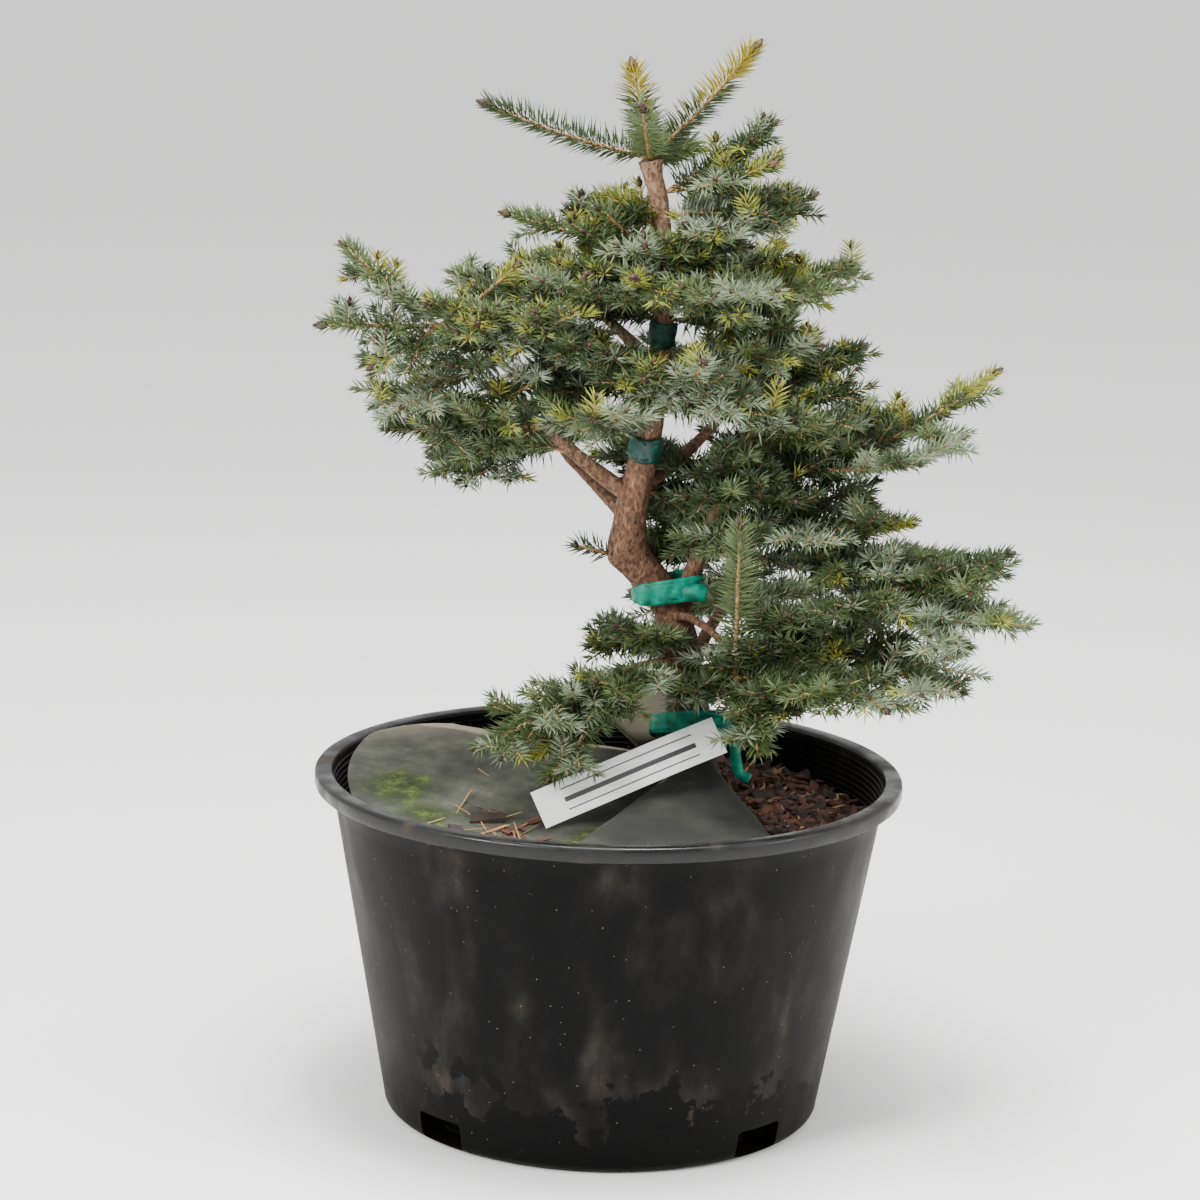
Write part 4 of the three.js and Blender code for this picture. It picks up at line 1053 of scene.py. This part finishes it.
# Weaker sprays that the solids leave out, where the crown is too thick to see sky through. They have
# no name, but spring in the same way and are grown by the same rule.
INNER_SPRAYS = [
    ("trunk", 0.915, [(-8, 14, 88, 4, 3, 34), (28, 8, 74, 4, 3, 30), (172, 12, 52, 3, 2, 24)]),
    ("trunk", 0.76, [(20, 6, 92, 3, 3, 40), (-40, 2, 74, 3, 2, 36), (150, 4, 80, 3, 3, 36)]),
    ("trunk", 0.66, [(170, 6, 78, 3, 3, 36), (-150, -2, 72, 3, 2, 34)]),
    ("back_right_bough", 0.45, [(10, 6, 92, 3, 4, 44), (120, 2, 80, 3, 3, 40)]),
    ("trunk", 0.5, [(60, -8, 88, 3, 4, 42), (30, -20, 76, 3, 3, 40)]),
    ("second_stem", 0.42, [(110, 4, 92, 3, 4, 44), (40, -4, 86, 3, 3, 44)]),
    ("second_stem", 0.66, [(150, 8, 74, 3, 3, 38), (20, 6, 104, 3, 4, 44)]),
    ("right_low_bough", 0.42, [(58, 8, 92, 3, 4, 44), (-52, 10, 84, 3, 3, 42)]),
    ("right_low_bough", 0.28, [(-62, -10, 86, 3, 3, 42), (30, -12, 80, 3, 3, 40)]),
    ("right_low_bough", 0.86, [(20, 10, 74, 3, 3, 40), (-70, 14, 66, 3, 3, 36)]),
    ("front_low_bough", 0.4, [(-30, -6, 62, 3, 3, 30), (-100, 2, 58, 3, 3, 30)]),
    ("second_stem", 0.62, [(-105, 6, 62, 3, 3, 32), (-50, 2, 70, 3, 3, 36)]),
    ("second_stem", 0.4, [(-82, 14, 56, 3, 2, 28)]),
    ("right_low_bough", 0.32, [(-100, 16, 54, 3, 3, 30), (-58, 20, 62, 3, 3, 32)]),
    ("left_upper_bough", 0.22, [(-92, 14, 56, 3, 3, 32), (-128, 22, 60, 3, 3, 32)]),
    ("second_stem", 0.52, [(-88, 50, 64, 6, 3, 28), (-58, 36, 60, 6, 3, 28)]),
    ("left_upper_bough", 0.5, [(-104, 18, 52, 4, 3, 28), (-66, 6, 50, 4, 2, 26)]),
    ("left_upper_bough", 0.78, [(-98, 14, 44, 4, 2, 24), (-150, 22, 50, 4, 2, 24)]),
    ("right_low_bough", 0.58, [(-92, 24, 58, 4, 3, 28), (-50, 26, 56, 4, 2, 26)]),
    ("back_low_bough", 0.5, [(20, -4, 86, 3, 3, 42), (150, -4, 80, 3, 3, 40)]),
]
INNER_SEED = 4000
LEADER_TINTS = ("gold", "gold", "green", "deep", "green")
OPEN_MASSES = ("left_", "upper_left", "crown_")  # the sky shows between their shoots
UPRIGHT = 70  # an arm that rises more steeply is a young leader, and as thickly needled
END_ARM_RADIUS = 2
ARM_RADIUS = 1.8
SHOOT_RADIUS = 1.25
ARM_TWIG_GAP = 18
TWIG_GAP = 17
OPEN_TWIG_GAP = 23
ROSETTE_HEIGHT = 480
ROSETTE_GAPS = (90, 40)  # below that height, and above it

for number, (mass_name, limb, share, arms) in enumerate(MASSES + [("", *spray) for spray in INNER_SPRAYS]):
    random = seeded(1000 + 77 * number if mass_name else INNER_SEED + number)
    start = spring_point(limb, share, arms[0])
    chances = np.array(mass_tints(mass_name, start[2]))
    chances /= chances.sum()
    open_mass = mass_name.startswith(OPEN_MASSES)
    for arm in arms:
        _, rise, length, _, count, side = arm
        points = arm_points(start, arm)
        arm_tint = draw.choice(TINTS, p=chances)
        path = smooth_path(points, 6)
        leader = mass_name == "crown_whorl" or rise > UPRIGHT
        if leader:
            arm_tint = LEADER_TINTS[arms.index(arm)] if mass_name == "crown_whorl" else "green"
        add_shoot(path, END_ARM_RADIUS if share == 1 else ARM_RADIUS, 0 if leader else 1, arm_tint)
        for shoot_start, shoot_end in side_shoots(points, arm, random):
            tint = draw.choice(TINTS, p=chances)
            long = np.linalg.norm(shoot_end - shoot_start)
            bent = bent_shoot(shoot_start, shoot_end, 4)
            add_shoot(bent, SHOOT_RADIUS, 2, tint)
            gap = OPEN_TWIG_GAP if open_mass else TWIG_GAP
            finer_shoots(bent, long, max(2, int(long / gap)), 0.12, tint)
        if count:
            finer_shoots(path, side, int(length / ARM_TWIG_GAP), 0.1, arm_tint)
            if not open_mass:
                forked_arm(points, arm, chances)
            rosettes(path, int(length / ROSETTE_GAPS[int(start[2] > ROSETTE_HEIGHT)]))

# Twigs: slender shoots, orange-brown and ridged by the pegs that the needles stand on.
TWIG_TAPER = 0.55


def joined(parts):
    """Many small forms as one: all of their places, and their faces renumbered."""
    firsts = np.cumsum([0] + [len(places) for places, _ in parts])
    faces = [faces + first for (_, faces), first in zip(parts, firsts)]
    return np.concatenate([places for places, _ in parts]) * MM, np.concatenate(faces)


twig_tubes = []
for shoot in shoots:
    radii = np.linspace(shoot["radius"], TWIG_TAPER * shoot["radius"], len(shoot["points"]))
    twig_tubes.append(tube(shoot["points"], radii, 4 if shoot["rank"] == 3 else 5))

twig_ramp = [(0.3, "#6f5133"), (0.5, "#a37d4e"), (0.7, "#cba76c")]
twig_bark = mottled_material("young_twig_bark", 380, 4, twig_ramp, 0.6, 0.0006, Roughness=0.75)
twigs = mesh_piece("twigs", *joined(twig_tubes), [twig_bark])
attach(twigs, "root")

# Needles: each is a flat-topped keel of six faces, pointed at both ends and arched a little.
NEEDLE_LONG = (20, 17, 14, 13)  # by rank, on a leader, an arm, a side shoot and a twig
NEEDLE_LEAN = (70, 70, 62, 60)
NEEDLE_THICK = (1.5, 1.15, 1, 0.9)
BARE_FOOT = (0.04, 0.07, 0.04, 0.04)
NEEDLES_PER_MM = 2.05
NEEDLE_WIDE = 1.3
NEEDLE_DEEP = 1.2
NEEDLE_WIDEST = 0.42
NEEDLE_BEND = 0.07
GOLDEN_TURN = math.radians(137.508)
NEEDLE_PLACES = 5
NEEDLE_FACES = np.array([(0, 2, 1), (1, 2, 4), (0, 3, 2), (2, 3, 4), (0, 1, 3), (3, 1, 4)])
TOP_FACES = 2  # the first two faces are the flat top


def needle_arrays(shoot):
    """The foot, tip way, top way, length, share of the way along and way out of each needle."""
    path, rank = shoot["points"], shoot["rank"]
    long = np.linalg.norm(np.diff(path, axis=0), axis=1).sum()
    first = BARE_FOOT[rank]
    count = max(6, int(long * (1 - first) * NEEDLES_PER_MM * NEEDLE_THICK[rank]))
    share = first + (1 - first) * (np.arange(count) + 0.5) / count
    way, across, over = path_axes(path)
    at = share * (len(path) - 1)
    i = np.minimum(at.astype(int), len(path) - 2)
    t = (at - i)[:, None]
    foot = path[i] * (1 - t) + path[i + 1] * t
    ahead_way = unit(way[i] * (1 - t) + way[i + 1] * t)
    turn = GOLDEN_TURN * np.arange(count) + draw.normal(0, 0.25, count)
    out = np.cos(turn)[:, None] * across[i] + np.sin(turn)[:, None] * over[i]
    # Those beneath sweep up at the sides, so that the spray is flat.
    out = unit((out + 0.75 * UP * np.clip(-out[:, 2], 0, 1)[:, None]) * (1, 1, 0.75))
    # Those near the tip lean forward round the bud, and are shorter.
    lean = NEEDLE_LEAN[rank] - 32 * np.clip((share - 0.65) / 0.35, 0, 1) + draw.normal(0, 4, count)
    lean = np.radians(lean)[:, None]
    tip_way = unit(np.cos(lean) * ahead_way + np.sin(lean) * out)
    top = unit(UP + 0.5 * out + 0.3 * ahead_way + draw.normal(0, 0.2, (count, 3)))
    size = NEEDLE_LONG[rank] * (1 - 0.25 * np.clip((share - 0.8) / 0.2, 0, 1))
    size = size * draw.uniform(0.86, 1.08, count)
    return foot, tip_way, top, size, share, out


def needle_mesh(foot, tip_way, top, size):
    """Five places for each needle, in the order that its faces use."""
    side = unit(np.cross(tip_way, top))
    keel = np.cross(side, tip_way)
    size = size[:, None]
    middle = foot + NEEDLE_WIDEST * size * tip_way + NEEDLE_BEND * size * keel
    half = NEEDLE_WIDE / 2 * side
    return np.stack([foot, middle - half, middle + half, middle - NEEDLE_DEEP * keel, foot + size * tip_way],
                    axis=1)


NEEDLE_COLOURS = {
    "deep": ("#36471f", "#404f31"),
    "green": ("#4b5e2a", "#5c6c45"),
    "grey": ("#576b42", "#86937a"),
    "yellow": ("#84892a", "#8f923c"),
    "gold": ("#a3921a", "#8a7f22"),
}
FRESH_HEIGHT = 570
grown = {tint: [] for tint in TINTS}
for shoot in shoots:
    foot, tip_way, top, size, share, out = needle_arrays(shoot)
    keep = ~in_limb(foot + tip_way * size[:, None] * 0.8, 0.4)
    places = needle_mesh(foot, tip_way, top, size)[keep]
    if shoot["tint"] == "gold":  # gold where the sun strikes it, and deep green beneath and at its foot
        sunny = out[keep, 2] + 2 * (share[keep] - 0.6) + draw.normal(0, 0.2, keep.sum()) > 0.1
        grown["gold"].append(places[sunny])
        grown["deep"].append(places[~sunny])
        continue
    freshness = 0 if shoot["rank"] == 0 else 0.2 if foot[0, 2] > FRESH_HEIGHT else 0.05
    fresh = (share[keep] > 0.75) & (draw.random() < freshness)
    grown[shoot["tint"]].append(places[~fresh])
    grown["yellow"].append(places[fresh])

MOST_NEEDLES = 32500  # six faces each, so that a piece stays under 200,000
unplaced = [mass[0] for mass in MASSES]  # the solids' masses, which the first piece takes the place of
for tint, (top_code, under_code) in NEEDLE_COLOURS.items():
    # Waxy needles: a satin skin over green, and two pale bands of wax beneath.
    needle_top = new_material("needle_top_" + tint, Roughness=0.34, Base_Color=hex_colour(top_code))
    needle_under = new_material("needle_under_" + tint, Roughness=0.6, Base_Color=hex_colour(under_code))
    all_places = np.concatenate(grown[tint])
    for part, begin in enumerate(range(0, len(all_places), MOST_NEEDLES)):
        some = all_places[begin:begin + MOST_NEEDLES]
        faces = repeated_faces(NEEDLE_FACES, NEEDLE_PLACES, len(some))
        beneath = np.tile(np.arange(len(NEEDLE_FACES)) >= TOP_FACES, len(some))
        needles = mesh_piece(f"needles_{tint}_{part + 1}", some.reshape(-1, 3) * MM, faces,
                             [needle_top, needle_under], beneath, smooth=False)
        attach(needles, "root")
        if unplaced:
            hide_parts(*unplaced)
            unplaced = []

# Buds: a ripe brown cone of papery scales at the end of each shoot, with two smaller at its side
# on the stronger ones.
BUD_SHARES = np.array([0, 0.4, 0.92])  # of its length, at each ring
BUD_RADII = np.array([0.6, 1, 0.25])
BUD_LONG = 6.5
BUD_WIDE = 4.2
BUD_SCALE = (1.4, 1.25, 1, 0.65)  # by rank
BUD_SIDES = 5
BUDS_ON_TWIGLETS = 0.6
HIGH_BUDS = 540  # the buds above this height are the fattest

bud_tubes = []
for shoot in shoots:
    path = shoot["points"]
    way = unit(path[-1] - path[-2])
    side = unit(np.cross(way, (0, 0, 1)))
    scale = BUD_SCALE[shoot["rank"]] * draw.uniform(0.75, 1.15) * (1.2 if path[-1][2] > HIGH_BUDS else 1)
    leads = [(way, 1)]
    if shoot["rank"] < 2:
        leads += [(unit(way + 0.7 * side), 0.75), (unit(way - 0.7 * side), 0.75)]
    if shoot["rank"] == 3 and draw.random() > BUDS_ON_TWIGLETS:
        continue
    for heading, share in leads:
        core = path[-1] - 0.8 * way + BUD_SHARES[:, None] * BUD_LONG * scale * share * heading
        bud_tubes.append(tube(core, BUD_RADII * BUD_WIDE / 2 * scale * share, BUD_SIDES))

bud_ramp = [(0.1, "#180b06"), (0.5, "#331b11"), (0.9, "#553722")]
bud_scales = mottled_material("papery_bud_scales", 700, None, bud_ramp, 0.6, 0.0006, Roughness=0.7)
buds = mesh_piece("buds", *joined(bud_tubes), [bud_scales])
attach(buds, "root")
